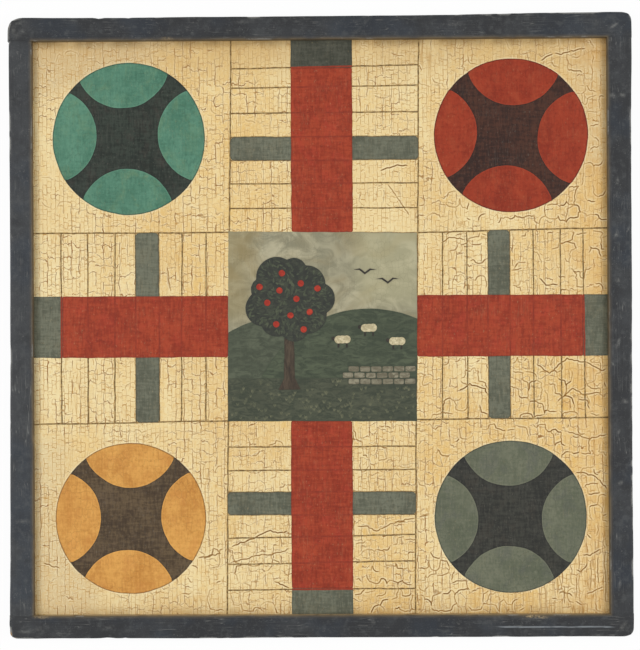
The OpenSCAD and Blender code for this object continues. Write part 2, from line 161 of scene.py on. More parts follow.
def along(line, step):
    """The line from end to end with evenly spaced points about a step apart."""
    run = np.concatenate([[0], np.cumsum(np.linalg.norm(np.diff(line, axis=0), axis=1))])
    at = np.linspace(0, run[-1], max(1, round(run[-1] / step)) + 1)
    return np.column_stack([np.interp(at, run, line[:, 0]), np.interp(at, run, line[:, 1])])


def resample(loop, step):
    """The loop with points about a step apart. Its corners are kept."""
    before, after = loop - np.roll(loop, 1, 0), np.roll(loop, -1, 0) - loop
    turn = np.arctan2(before[:, 0] * after[:, 1] - before[:, 1] * after[:, 0], (before * after).sum(1))
    corners = np.flatnonzero(np.abs(turn) > CORNER_TURN)
    first = corners[0] if len(corners) else 0
    loop = np.roll(loop, -first, 0)
    stops = [*(corners - first), len(loop)] if len(corners) else [0, len(loop)]
    closed = np.vstack([loop, loop[:1]])
    return np.vstack([along(closed[a:b + 1], step)[:-1] for a, b in zip(stops, stops[1:])])


def soften(loop, passes):
    """The loop with its corners worn round."""
    for _ in range(passes):
        loop = (np.roll(loop, 1, 0) + 2 * loop + np.roll(loop, -1, 0)) / 4
    return loop


def inset(line, depth, closed=True):
    """The line's points moved to their left, which for a loop is into the material."""
    tangent = np.roll(line, -1, 0) - np.roll(line, 1, 0) if closed else np.gradient(line, axis=0)
    tangent /= np.linalg.norm(tangent, axis=1)[:, None] + 1e-9
    return line + depth * np.column_stack([-tangent[:, 1], tangent[:, 0]])


def distance(points, loops):
    """Distance of each point from the nearest edge of the loops."""
    best = np.full(len(points), np.inf)
    for a in loops:
        side = np.roll(a, -1, 0) - a
        size = np.maximum((side**2).sum(1), 1e-12)
        for start in range(0, len(points), BATCH):
            batch = slice(start, start + BATCH)
            away = points[batch, None] - a[None]
            share = np.clip((away * side).sum(2) / size, 0, 1)
            gap = np.linalg.norm(away - share[..., None] * side, axis=2).min(1)
            best[batch] = np.minimum(best[batch], gap)
    return best


def inside(points, loops):
    """True for each point that the loops enclose. Holes are outside."""
    odd = np.zeros(len(points), bool)
    x, y = points[:, :1], points[:, 1:]
    for a in loops:
        b = np.roll(a, -1, 0)
        rise = np.where(b[:, 1] == a[:, 1], 1e-12, b[:, 1] - a[:, 1])
        spans = (a[:, 1] > y) != (b[:, 1] > y)
        left = x < (b[:, 0] - a[:, 0]) * (y - a[:, 1]) / rise + a[:, 0]
        odd ^= (spans & left).sum(1) % 2 == 1
    return odd


def islands(loops):
    """The loops grouped so that each group is one outer loop and its holes."""
    area = [((a[:, 0] * np.roll(a[:, 1], -1)) - (a[:, 1] * np.roll(a[:, 0], -1))).sum() for a in loops]
    groups = [[a] for a, size in zip(loops, area) if size > 0]
    for hole in (a for a, size in zip(loops, area) if size <= 0):
        home = next(g for g in groups if inside(hole[:1], g[:1])[0])
        home.append(hole)
    return groups


def triangles(points, edges):
    """A triangulation of the plane points that holds the edges: (points, triangles)."""
    points = [Vector(p) for p in points]
    flat, _, faces, *_ = geometry.delaunay_2d_cdt(points, edges, [], 0, SAME_POINT, False)
    return np.array([tuple(v) for v in flat]), np.array([tuple(f) for f in faces])


def turned(flat, faces, way):
    """The triangles with their points running leftward, seen from above, for a way of 1."""
    a, b, c = flat[faces].transpose(1, 0, 2)
    wrong = way * ((b - a)[:, 0] * (c - a)[:, 1] - (b - a)[:, 1] * (c - a)[:, 0]) < 0
    faces[wrong] = faces[wrong][:, ::-1]
    return faces


def staggered(columns, rows, shift):
    """Points where the columns and rows cross, with every second row shifted to the right."""
    x, y = np.meshgrid(columns, rows)
    x = x + (np.arange(len(rows)) % 2)[:, None] * shift
    return np.column_stack([x.ravel(), y.ravel()])


# Cracks in the cream ground, in millimetres

# Clear ground beside painted coats and seams, beside the frame and beside a tile's edge
MARGIN, FRAME_MARGIN, TILE_MARGIN = 0.9, 0.6, 0.3
# The blocks that the ground breaks into, and how far their seeds stray as a share of a block
BLOCK_W, BLOCK_H, BLOCK_STRAY = 9.0, 11.0, 0.42
# Blocks are drawn taller than they are wide
BLOCK_SQUASH = 0.72
# Spacing of a crack's bends, and how far they stray: between blocks, bold level and bold upright
KINK_STEP, KINK_STRAY = 1.9, 0.55
BOLD_STEP, LEVEL_STRAY, UPRIGHT_STRAY = 2.1, 0.6, 0.28
# Spacing of a crack's points, and the fewest that make one
CRACK_STEP, FEWEST_POINTS = 0.7, 5
# A loose end fades over this stretch, and an end at another crack not at all
END_FADE, NO_END = (-0.6, 2.6), 99


def block_sides(rng):
    """The sides between blocks by the indices of their ends, with the seeds placed by rng."""
    columns = np.arange(-FIELD - BLOCK_W, FIELD + 1.5 * BLOCK_W, BLOCK_W)
    rows = np.arange(-FIELD - BLOCK_H, FIELD + 1.5 * BLOCK_H, BLOCK_H)
    seeds = staggered(columns, rows, BLOCK_W / 2)
    seeds += rng.uniform(-BLOCK_STRAY, BLOCK_STRAY, seeds.shape) * (BLOCK_W, BLOCK_H)
    seeds[:, 1] *= BLOCK_SQUASH
    flat, faces = triangles(seeds, [])
    a, b, c = flat[faces].transpose(1, 0, 2)
    b, c = b - a, c - a
    twice = 2 * (b[:, 0] * c[:, 1] - b[:, 1] * c[:, 0])
    bb, cc = (b**2).sum(1), (c**2).sum(1)
    centres = a + np.column_stack([c[:, 1] * bb - b[:, 1] * cc, b[:, 0] * cc - c[:, 0] * bb]) / twice[:, None]
    centres[:, 1] /= BLOCK_SQUASH
    homes = {}
    for i, face in enumerate(faces):
        for p, q in zip(face, np.roll(face, -1)):
            homes.setdefault((min(p, q), max(p, q)), []).append(i)
    return centres, [pair for pair in homes.values() if len(pair) == 2]


def kinked(a, b, rng):
    """A crack from a to b that runs mostly upright for its one part and mostly level for the other."""
    share = np.array((0.22, 0.78) if rng.random() < 0.5 else (0.78, 0.22))
    line = along(np.array([a, a + (b - a) * share, b]), KINK_STEP)
    line[1:-1] += rng.uniform(-KINK_STRAY, KINK_STRAY, (len(line) - 2, 2))
    return line


# The boldest cracks, each by its bends: across, up, across, up from the field's middle
BOLD_CRACKS = [
    (172, -30, 182, -38, 196, -26, 213, -30, 224, -36, 229, -34), (188, -61, 200, -50, 210, -55, 224, -53),
    (146, 28, 152, 44, 162, 46), (174, 38, 181, 32, 190, 33),
    (-72, -176, -65, -172, -55, -169, -47, -165, -41, -162.5, -33, -164, -26, -162.5),
    (-72, -187, -60, -185, -52, -181.5, -39, -181, -30, -178.5, -25, -176.5),
    (28, -159, 36, -158.5, 44, -163, 52, -158.5, 62, -155, 76, -152, 86, -150.5),
    (48, 124, 62, 129, 71, 128), (54, 114, 64, 100, 72, 88), (187, 217, 193, 216, 203, 219, 213, 221),
    (187, 217, 181, 214, 176, 211), (-99, -184, -88, -182, -79, -180), (-223, -187, -208, -192),
    (-122, 49, -119, 28), (110, -52, 119, -46, 131, -50, 134, -58), (196, -84, 214, -90, 228, -86),
    (190, -124, 206, -116, 218, -120, 229, -131), (-38, -202, -30, -206, -25, -208),
    (96, 66, 104, 71, 116, 69), (210, -214, 217, -211, 221, -209, 225, -208),
    (189, -214, 190, -212, 198, -212.5, 200, -216), (182, -216.5, 188, -217.5),
    (201, -219, 205, -221, 208, -222), (202, -199, 203, -206, 203, -213, 202, -218),
    (202, -194, 206, -196, 210, -193, 211, -188), (207, -182, 214, -182.5, 221, -179, 223, -178),
    (225.5, -178, 225, -190, 226, -206, 225.5, -220), (220, -183, 219.5, -196, 220.5, -206),
    (214, -186, 214.5, -200, 213.5, -210), (193, -207, 193.5, -222),
]

# The lower right corner, where nearly all cracks run upright, starts here
UPRIGHT_FROM = (178, -150)


def crack_density(x, y):
    """Share of the blocks' sides that are open here. The right of the board is the most broken."""
    lower_right = smooth(x - 0.6 * y, -190, 270)
    return np.clip(0.1 + 0.5 * lower_right + 0.24 * noise(x, y, 34, 30, 41), 0.02, 0.8)


def grow_cracks(painted):
    """Every crack as (points, strength), clear of the painted loops and fading at its loose ends."""
    rng, bold_rng = np.random.default_rng(43), np.random.default_rng(44)
    raw = []
    for bends in BOLD_CRACKS:
        bends = np.array(bends, float).reshape(-1, 2)
        line = along(bends, BOLD_STEP)
        level = np.ptp(bends[:, 0]) > np.ptp(bends[:, 1])
        stray_mm = LEVEL_STRAY if level else UPRIGHT_STRAY
        line[1:-1] += bold_rng.uniform(-stray_mm, stray_mm, (len(line) - 2, 2))
        raw.append((line, bold_rng.uniform(0.72, 1.02) * (1 if level else 0.7), True, True))
    centres, sides = block_sides(rng)
    kept = []
    for i, j in sides:
        a, b = centres[i], centres[j]
        level = abs(b[0] - a[0]) > 0.8 * abs(b[1] - a[1])
        middle = (a + b) / 2
        density = crack_density(*middle)
        share = 1.15 if level else 0.9
        if middle[0] > UPRIGHT_FROM[0] and middle[1] < UPRIGHT_FROM[1]:
            share = 0.3 if level else 1.5
        if 1.5 < np.linalg.norm(b - a) < 2 * BLOCK_H and rng.random() < density * share:
            strength = rng.uniform(0.5, 1.05) if level else rng.uniform(0.3, 0.75)
            kept.append((i, j, strength * (0.36 + 0.85 * density)))
    ends_at = np.bincount([k for i, j, _ in kept for k in (i, j)], minlength=len(centres))
    for i, j, strength in kept:
        raw.append((kinked(centres[i], centres[j], rng), strength, ends_at[i] < 2, ends_at[j] < 2))
    grown = []
    for line, strength, loose_start, loose_end in raw:
        line = along(line, CRACK_STEP)
        clear = np.abs(line).max(1) < FIELD - FRAME_MARGIN
        clear &= ~inside(line, painted) & (distance(line, painted) > MARGIN)
        clear &= np.abs(np.abs(line) - SEAM).min(1) > MARGIN
        ends = np.flatnonzero(np.diff(np.concatenate([[0], clear, [0]])))
        for a, b in zip(ends[::2], ends[1::2]):
            if b - a < FEWEST_POINTS:
                continue
            steps, endless = np.arange(b - a), np.full(b - a, NO_END)
            from_start = steps if a > 0 or loose_start else endless
            from_end = steps[::-1] if b < len(line) or loose_end else endless
            reach = CRACK_STEP * np.minimum(from_start, from_end)
            grown.append((line[a:b], strength * smooth(reach, *END_FADE)))
    return grown


# How the paint stands round a crack, by the distance from it: height, how dark it shows and how bright the
# painted highlight on its lips shows
CRACK_ROWS = [0, 0.38, 0.88, 1.8]
CRACK_HEIGHTS = [-0.05, 0.04, 0.06, 0]
CRACK_DARKNESS = [1, 0.55, 0, 0]
CRACK_HIGHLIGHTS = [0, 0.5, 1, 0]


class CrackMap:
    """Finds the nearest crack to a point."""

    def __init__(self, cracks):
        self.cracks = cracks
        points = np.vstack([line for line, _ in cracks])
        self.strength = np.concatenate([s for _, s in cracks])
        self.tree = kdtree.KDTree(len(points))
        for i, (x, y) in enumerate(points):
            self.tree.insert((x, y, 0), i)
        self.tree.balance()

    def read(self, points):
        """(distance, strength) of the nearest crack for each point."""
        found = [self.tree.find((x, y, 0)) for x, y in points]
        return np.array([f[2] for f in found]), self.strength[[f[1] for f in found]]


# Thin painted solids

# Clear space round the mesh points beside a crack, in millimetres
ROW_GAP = 0.25


def loop_edges(loops):
    """The loops' points in one array, and their edges by index."""
    edges, base = [], 0
    for loop in loops:
        n = len(loop)
        edges += [(base + i, base + (i + 1) % n) for i in range(n)]
        base += n
    return np.vstack(loops), edges


def sheet_of_paint(loops, low, top, drop, insets, cracks=None, grid=GRID):
    """A closed thin solid inside the loops: (points, faces, values at its points).

    Its top follows the field's relief and sinks by drop at the outline. Where cracks are
    given, their rows are part of the mesh.
    """
    rim, edges = loop_edges(loops)
    free = [inset(loop, depth) for loop in loops for depth in insets]
    free_gap = [np.full(len(loop), 0.75 * depth) for loop in loops for depth in insets]
    lowest, highest = rim.min(0), rim.max(0)
    rows = np.arange(lowest[1], highest[1], grid * math.sqrt(3) / 2)
    free.append(staggered(np.arange(lowest[0], highest[0], grid), rows, grid / 2))
    free_gap.append(np.full(len(free[-1]), max(insets, default=0) + 0.3 * grid))
    chains = []
    for line, _ in cracks.cracks if cracks else ():
        if ((line > lowest + TILE_MARGIN) & (line < highest - TILE_MARGIN)).all():
            chains.append(line)
            sides = [inset(line, s * row, closed=False) for row in CRACK_ROWS[1:] for s in (-1, 1)]
            free += sides
            free_gap += [np.full(len(side), ROW_GAP) for side in sides]
    free, free_gap = np.vstack(free), np.concatenate(free_gap)
    keep = inside(free, loops) & (distance(free, loops) > free_gap)
    points = [rim, free[keep], *chains]
    base = len(rim) + keep.sum()
    for line in chains:
        edges += [(base + i, base + i + 1) for i in range(len(line) - 1)]
        base += len(line)
    flat, faces = triangles(np.vstack(points), edges)
    faces = faces[inside(flat[faces].mean(1), loops)]
    used, faces = np.unique(faces, return_inverse=True)
    flat = flat[used]
    faces = turned(flat, faces.reshape(-1, 3), 1)
    return thicken(flat, faces, loops, low, top, drop, max(insets, default=0.5), cracks)


def thicken(flat, faces, loops, low, top, drop, reach, cracks):
    """The plane triangles as the top of a closed solid that stands on the height low."""
    x, y = flat.T
    rim = 1 - smooth(distance(flat, loops), 0, reach)
    z = top + relief(x, y) - drop * rim
    values = {"rim": rim, "crack": np.zeros(len(flat)), "lip": np.zeros(len(flat))}
    if cracks:
        away, strength = cracks.read(flat)
        z += strength * np.interp(away, CRACK_ROWS, CRACK_HEIGHTS)
        for key, table in (("crack", CRACK_DARKNESS), ("lip", CRACK_HIGHLIGHTS)):
            values[key] = np.clip(strength, 0, 1) * np.interp(away, CRACK_ROWS, table)
    sides = {}
    for face in faces:
        for p, q in zip(face, np.roll(face, -1)):
            if (q, p) in sides:
                del sides[q, p]
            else:
                sides[p, q] = True
    border = sorted({p for side in sides for p in side})
    local = {p: i for i, p in enumerate(border)}
    base, base_flat = len(flat), flat[border]
    edges = [(local[p], local[q]) for p, q in sides]
    _, _, made, homes, *_ = geometry.delaunay_2d_cdt([Vector(p) for p in base_flat], edges, [], 0, SAME_POINT)
    cap = np.array([[homes[i][0] for i in face] for face in made])
    cap = turned(base_flat, cap[inside(base_flat[cap].mean(1), loops)], -1)
    walls = [(q, p, base + local[p], base + local[q]) for p, q in sides]
    solid = [tuple(f) for f in faces] + walls + [tuple(base + f) for f in cap]
    lower = np.column_stack([base_flat, np.full(len(border), low)])
    points = np.vstack([np.column_stack([flat, z]), lower])
    return points, solid, {k: np.concatenate([v, v[border]]) for k, v in values.items()}


def joined(parts):
    """Several (points, faces, values) as one."""
    points, faces, values, base = [], [], {}, 0
    for p, f, v in parts:
        points.append(p)
        faces += [tuple(int(base + i) for i in face) for face in f]
        for key, value in v.items():
            values.setdefault(key, []).append(value)
        base += len(p)
    return np.vstack(points), faces, {k: np.concatenate(v) for k, v in values.items()}


# Edges that bend more than this stay sharp
SHARP = math.radians(38)


def give(mesh, values):
    """The values, by name, for the mesh's points."""
    for key, value in values.items():
        layer = mesh.attributes.new(key, "FLOAT", "POINT")
        layer.data.foreach_set("value", np.asarray(value, np.float32))


def dress(mesh, material):
    """The mesh in one material alone."""
    mesh.materials.clear()
    mesh.materials.append(material)


def placed(name, data):
    """A new object in the scene."""
    made = bpy.data.objects.new(name, data)
    bpy.context.scene.collection.objects.link(made)
    return made


def piece(name, parts, material, nodes=()):
    """A mesh object of the board from parts in millimetres. It stands for the nodes."""
    points, faces, values = joined(parts)
    mesh = bpy.data.meshes.new(name)
    mesh.from_pydata((points * MM).tolist(), [], faces)
    give(mesh, values)
    add(name, mesh, material, nodes)


def add(name, mesh, material, nodes=()):
    """The mesh as a smooth object of the board that rides on it."""
    mesh.shade_smooth()
    mesh.set_sharp_from_angle(angle=SHARP)
    dress(mesh, material)
    made = placed(name, mesh)
    if nodes:
        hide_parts(*nodes)
    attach(made, "root")


# Shaders

def srgb(red, green, blue):
    """A colour given as it shows, 0 to 255, as the linear colour that a shader takes."""
    share = np.array([red, green, blue]) / 255
    linear = np.where(share <= 0.04045, share / 12.92, ((share + 0.055) / 1.055) ** 2.4)
    return (*linear.tolist(), 1.0)


class Value:
    """One output of a node. Sums, differences and products of values add math nodes."""

    def __init__(self, nodes, socket):
        self.nodes, self.socket = nodes, socket

    def __add__(self, other):
        return self.nodes.math("ADD", self, other)

    def __sub__(self, other):
        return self.nodes.math("SUBTRACT", self, other)

    def __rsub__(self, other):
        return self.nodes.math("SUBTRACT", other, self)

    def __mul__(self, other):
        return self.nodes.math("MULTIPLY", self, other)

    def __abs__(self):
        return self.nodes.math("ABSOLUTE", self)

    __radd__, __rmul__ = __add__, __mul__


class Nodes:
    """A node tree. Each call adds a node and gives its output as a value."""

    def __init__(self, owner):
        owner.use_nodes = True
        self.tree = owner.node_tree
        self.tree.nodes.clear()

    def node(self, kind, inputs=None, output=0, **settings):
        made = self.tree.nodes.new(kind)
        for key, value in settings.items():
            setattr(made, key, value)
        for key, value in (inputs or {}).items():
            if isinstance(value, Value):
                self.tree.links.new(value.socket, made.inputs[key])
            else:
                made.inputs[key].default_value = value
        return Value(self, made.outputs[output]) if len(made.outputs) else None

    def math(self, operation, *values):
        return self.node("ShaderNodeMath", dict(enumerate(values)), operation=operation)

    def most(self, first, *others):
        for other in others:
            first = self.math("MAXIMUM", first, other)
        return first

    def seen(self):
        """1 for the rays that see the background white, as camera and mirror rays do."""
        path = self.tree.nodes.new("ShaderNodeLightPath")
        rays = ("Is Camera Ray", "Is Glossy Ray", "Is Transmission Ray")
        return self.most(*(Value(self, path.outputs[ray]) for ray in rays))


class Shader(Nodes):
    """One material's nodes. Its places are in millimetres, and colours are as they show."""

    def __init__(self, name):
        self.material = bpy.data.materials.new(name)
        super().__init__(self.material)
        place = self.node("ShaderNodeTexCoord", output="Object")
        self.millimetres = self.node("ShaderNodeVectorMath", {0: place, "Scale": 1 / MM}, operation="SCALE")
        self.x, self.y, self.z = self.split(self.millimetres)

    def split(self, vector):
        made = self.tree.nodes.new("ShaderNodeSeparateXYZ")
        self.tree.links.new(vector.socket, made.inputs[0])
        return [Value(self, output) for output in made.outputs]

    def step(self, value, low, high, to_low=0.0, to_high=1.0):
        """A smooth step from to_low, where the value is low, to to_high."""
        return self.node(
            "ShaderNodeMapRange",
            {"Value": value, "From Min": low, "From Max": high, "To Min": to_low, "To Max": to_high},
            interpolation_type="SMOOTHSTEP",
        )

    def fade(self, value, low, high, share):
        """A smooth step from 0 to the share."""
        return self.step(value, low, high, 0.0, share)

    def mix(self, share, a, b):
        a, b = (colour if isinstance(colour, Value) else srgb(*colour) for colour in (a, b))
        return self.node("ShaderNodeMix", {0: share, 6: a, 7: b}, output=2, data_type="RGBA")

    def cover(self, colour, *layers):
        """The colour under layers of (tone, share) or of (tone, value, and its fade's numbers)."""
        for tone, value, *fade in layers:
            colour = self.mix(self.fade(value, *fade) if fade else value, colour, tone)
        return colour

    def cells(self, wide, tall, deep=1e6, shift=0.0):
        """Coordinates counted in cells of that many millimetres."""
        return self.node(
            "ShaderNodeVectorMath",
            {0: self.millimetres, 1: (1 / wide, 1 / tall, 1 / deep), 2: (shift, shift * 1.7, shift * 0.6)},
            operation="MULTIPLY_ADD",
        )

    def noise(self, wide, tall=None, deep=1e6, detail=3.0, rough=0.5, shift=0.0, bend=0.0, output=0):
        """Noise with bumps of that size in millimetres. One size alone holds for all directions."""
        if tall is None:
            tall = deep = wide
        inputs = {"Vector": self.cells(wide, tall, deep, shift), "Scale": 1.0}
        inputs |= {"Detail": detail, "Roughness": rough, "Distortion": bend}
        return self.node("ShaderNodeTexNoise", inputs, output)

    def swayed_cells(self, wide, tall, shift, sway, detail, noise_wide, noise_tall):
        """Cell coordinates that stray by noise, up to half the sway."""
        noise = self.noise(noise_wide, noise_tall, detail=detail, shift=shift + 3, output="Color")
        off = self.node("ShaderNodeVectorMath", {0: noise, 1: (0.5, 0.5, 0.5)}, operation="SUBTRACT")
        cells = self.cells(wide, tall, shift=shift)
        return self.node("ShaderNodeVectorMath", {0: off, 1: sway, 2: cells}, operation="MULTIPLY_ADD")

    def value(self, name):
        """A value that the mesh carries at its points."""
        return self.node("ShaderNodeAttribute", output="Fac", attribute_name=name)

    def hairlines(self, wide, tall, width, deep=1e6, shift=0.0):
        """Thin broken lines, as grain shows through paint."""
        return self.step(abs(self.noise(wide, tall, deep, detail=1, shift=shift) - 0.5), width, 0.0)

    def net(self, wide, tall, width, shift):
        """A net of fine cracks, straight along Y and wavy across it."""
        at = self.swayed_cells(wide, tall, shift, (0.25, 0.8, 0.0), 2, wide * 0.9, tall * 0.7)
        edge = self.node(
            "ShaderNodeTexVoronoi", {"Vector": at, "Scale": 1.0, "Randomness": 0.72},
            feature="DISTANCE_TO_EDGE", voronoi_dimensions="2D",
        )
        return self.step(edge, width, 0.0)

    def chance(self, a, b, shift):
        """An even random value for each pair of whole numbers."""
        pair = self.node("ShaderNodeCombineXYZ", {0: a, 1: b, 2: shift})
        return self.node("ShaderNodeTexWhiteNoise", {"Vector": pair}, noise_dimensions="3D")

    def blocks(self, wide, tall, width, kept, shift, sway=0.55):
        """Blocky cracks, as paint breaks on upright grain: (crack, lip), each from 0 to 1.

        The blocks are wide by tall and the cracks width across, in millimetres. The share kept
        of the blocks' sides is broken.
        """
        at = self.swayed_cells(wide, tall, shift, (sway, 2.2 * sway, 0.0), 3, wide * 1.2, tall * 1.2)
        u, v, _ = self.split(at)
        column = self.math("FLOOR", u)
        v_here = v + self.chance(column, 0.0, shift + 1)
        upright = self.chance(self.math("ROUND", u), self.math("FLOOR", v), shift + 2)
        level = self.chance(column, self.math("ROUND", v_here), shift + 3)
        crack, lip = [], []
        for place, size, luck in ((u, wide, upright), (v_here, tall, level)):
            gap = abs(place - self.math("ROUND", place)) * size
            depth = self.math("LESS_THAN", luck, kept) * (0.45 + luck * (0.55 / kept))
            crack.append(self.step(gap, 0.5 * width + 0.16, 0.5 * width - 0.16) * depth)
            lip.append(self.step(gap, 2.4 * width, 0.8 * width) * depth)
        return self.most(*crack), self.most(*lip)

    def finish(self, colour, roughness, height, depth_mm, specular=0.25, **settings):
        """The surface: its height runs from 0 to 1 and stands for that depth."""
        bump = self.node("ShaderNodeBump", {"Strength": 1.0, "Distance": depth_mm * MM, "Height": height})
        inputs = {"Base Color": colour, "Roughness": roughness, "Normal": bump}
        inputs |= {"Specular IOR Level": specular, **settings}
        surface = self.node("ShaderNodeBsdfPrincipled", inputs)
        self.node("ShaderNodeOutputMaterial", {"Surface": surface})
        return self.material


CREAM = (232, 201, 140)
PALE_CREAM = (243, 224, 172)
WARM_CREAM = (230, 187, 106)
OCHRE_STAIN = (212, 158, 76)
CREAM_SHADE = (194, 156, 98)
DULL_CREAM = (204, 184, 148)
CRACK_BROWN = (98, 60, 6)
FLANK_BROWN = (162, 112, 30)
NET_BROWN = (142, 90, 14)
NET_TAN = (184, 130, 40)
# Grime and painted shade at the foot of the frame's walls
GRIME_AND_SHADE = (122, 96, 54)
# Painted highlight on the cupped lips of cracks and on the ring round the home discs
LIT_LIP = (250, 236, 194)

# Reach of the darker stretches beside the frame, in millimetres. The last two reach over the grime and
# painted shade at the foot of the frame's walls
TOP_SHADE, BOTTOM_SHADE, SIDE_SHADE, SIDE_GRIME_AND_SHADE, END_GRIME_AND_SHADE = 46, 26, 60, 5.5, 8

# Where the cream has aged warmer, stayed paler or grown dull: middle, half sizes and share
WARM_SPOTS = [
    (-74, 132, 34, 104, 0.46), (-88, 140, 8, 76, 0.6), (-160, -146, 44, 60, 0.1), (-90, -150, 26, 60, 0.16),
]
PALE_SPOTS = [
    (50, 138, 30, 98, 0.5), (222, 186, 18, 56, 0.45), (-44, -186, 26, 46, 0.4), (196, 40, 34, 22, 0.3),
    (-200, 70, 70, 160, 0.3), (104, -176, 22, 60, 0.6), (-38, -212, 38, 18, 0.45), (52, -108, 24, 40, 0.3),
]
DULL_SPOTS = [
    (-206, -196, 24, 40, 0.5), (-190, 212, 52, 20, 0.5), (216, 182, 18, 60, 0.45), (-218, -130, 18, 40, 0.35),
]
# How far each side of a spot's edge the change fades
SPOT_FADE = 12


def spots(s, places, uneven=0.0):
    """The share of change at each point, from spots with soft, wandering edges."""
    shares = []
    for x, y, half_x, half_y, share in places:
        across = s.step(abs(s.x + uneven - x), half_x + SPOT_FADE, half_x - SPOT_FADE)
        up = s.step(abs(s.y + uneven - y), half_y + SPOT_FADE, half_y - SPOT_FADE)
        shares.append(across * up * share)
    return s.most(*shares)


def beyond_disc(s, tint):
    """How far each place is outside a home disc's edge, in millimetres."""
    low, high = (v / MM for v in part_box("lenses_" + tint))
    middle, radius = (low + high) / 2, (high.x - low.x) / 2
    off_x, off_y = s.x - middle.x, s.y - middle.y
    return s.math("SQRT", off_x * off_x + off_y * off_y) - radius


def disc_halo(s):
    """1 in the thin ring of paler cream round each home disc: partly cleaner cream, partly a painted
    highlight.
    """
    away = [beyond_disc(s, tint) for tint in ("green", "red", "ochre", "slate")]
    return s.most(*(s.step(gap, 1.5, 0.7) * s.math("GREATER_THAN", gap, -1.0) for gap in away))


def cream_paint():
    """The aged and crackled cream ground."""
    s = Shader("cream_paint")
    broad = s.noise(70, 90, shift=1)
    patch = s.noise(20, 30, detail=4, rough=0.62, shift=2, bend=0.6)
    bands = s.noise(17, 240, shift=31)
    streaks = s.noise(1.3, 40, shift=7)
    speckle = s.noise(1.5, 1.9, detail=2, shift=9)
    uneven = (broad - 0.5) * 70
    to_right = s.step(s.x, -FIELD, FIELD, -0.03, 0.05)
    to_lower = s.step(s.x - s.y, 0, 2 * FIELD)
    from_x, from_y = UPRIGHT_FROM
    corner = s.step(s.x, from_x - 20, from_x + 8) * s.step(s.y, from_y + 12, from_y - 16)
    warm = s.most(s.step(patch + to_right, 0.46, 0.7), s.step(bands, 0.5, 0.72) * 0.8)
    stain = s.step(s.noise(8, 12, detail=4, rough=0.66, shift=5, bend=0.8), 0.5, 0.72)
    colour = s.cover(
        s.mix(s.step(broad + to_right, 0.36, 0.64), PALE_CREAM, CREAM),
        (WARM_CREAM, warm * s.step(to_lower, 0.1, 0.7, 0.5, 0.8)),
        (WARM_CREAM, spots(s, WARM_SPOTS, uneven)),
        (PALE_CREAM, patch, 0.44, 0.28, 0.6),
        (OCHRE_STAIN, stain * (0.24 + to_lower * 0.24)),
        (WARM_CREAM, to_lower * 0.3),
        (PALE_CREAM, spots(s, PALE_SPOTS, uneven)),
        (CREAM_SHADE, streaks, 0.5, 0.74, 0.2),
        (PALE_CREAM, streaks, 0.42, 0.24, 0.2),
        (PALE_CREAM, corner * 0.5),
        (DULL_CREAM, spots(s, DULL_SPOTS, uneven)),
        (WARM_CREAM, speckle, 0.5, 0.7, 0.34),
        (PALE_CREAM, speckle, 0.47, 0.3, 0.5),
    )

    fine, fine_lip = s.blocks(3.3, 3.9, 0.56, 0.7, shift=15)
    medium, medium_lip = s.blocks(6.4, 7.8, 0.72, 0.66, shift=19, sway=0.7)
    fine_here = s.step(s.noise(17, 22, shift=17), 0.26, 0.5, 0.25, 1.0)
    medium_here = s.step(s.noise(30, 34, shift=21) + to_lower * 0.14, 0.36, 0.56)
    grain_here = s.step(s.noise(24, 44, shift=35) + to_lower * 0.1, 0.5, 0.62)
    # The cupped lips get a bump and a painted highlight
    lips = s.most(medium_lip * medium_here * 0.6, fine_lip * fine_here * 0.3)
    grain = s.hairlines(4.4, 70, 0.02, shift=33) * grain_here
    fine = s.most(fine * fine_here * 0.85, grain * 0.55)
    corner_grain = s.hairlines(2.8, 44, 0.035, shift=37) * corner
    medium = s.most(medium * medium_here * 0.95, corner_grain * 0.7)

    ragged = s.noise(16, 16, detail=4, shift=27)
    # Grime and painted shade at the foot of the frame's walls, stronger at the top
    near_side = s.step(FIELD - abs(s.x), SIDE_GRIME_AND_SHADE, 0) * s.step(ragged, 0.25, 0.65, 0.1, 0.5)
    near_end = s.step(FIELD - abs(s.y), END_GRIME_AND_SHADE, 0) * s.step(ragged, 0.3, 0.7, 0.4, 1.0)
    near_end = near_end * s.step(s.y, 0, FIELD, 0.7, 1.4)
    shade = s.step(ragged, 0.2, 0.6, 0.6, 1.0)
    to_side = s.step(s.x, FIELD - SIDE_SHADE, FIELD) * s.step(ragged, 0.3, 0.7, 0.3, 1.0)
    crack = s.value("crack")
    colour = s.cover(
        colour,
        # painted highlight on the lips of the shader's cracks
        (LIT_LIP, lips),
        (NET_TAN, fine),
        (NET_BROWN, medium),
        (CREAM_SHADE, s.step(s.y, FIELD - TOP_SHADE, FIELD) * shade * 0.5),
        (CREAM_SHADE, s.step(s.y, BOTTOM_SHADE - FIELD, -FIELD) * shade * 0.3),
        (OCHRE_STAIN, to_side * 0.5),
        # grime and painted shade at the foot of the frame's walls
        (GRIME_AND_SHADE, s.most(near_side, near_end) * 0.5),
        # paler ring round the home discs, partly a painted highlight
        (LIT_LIP, disc_halo(s) * s.step(ragged, 0.36, 0.62, 0.04, 0.42)),
        # painted highlight on the lips of the mesh's cracks
        (LIT_LIP, s.value("lip") * 0.6),
        (FLANK_BROWN, crack, 0.08, 0.6, 0.85),
        (CRACK_BROWN, s.step(crack, 0.36, 0.88)),
    )
    height = streaks * 0.2 - s.most(fine * 0.6, medium) * 0.8 + lips * 0.4 + speckle * 0.3
    return s.finish(colour, s.step(patch, 0.3, 0.7, 0.52, 0.7), height, 0.07)


CREAM_THROUGH = (196, 172, 128)
GREY_THROUGH = (104, 100, 92)


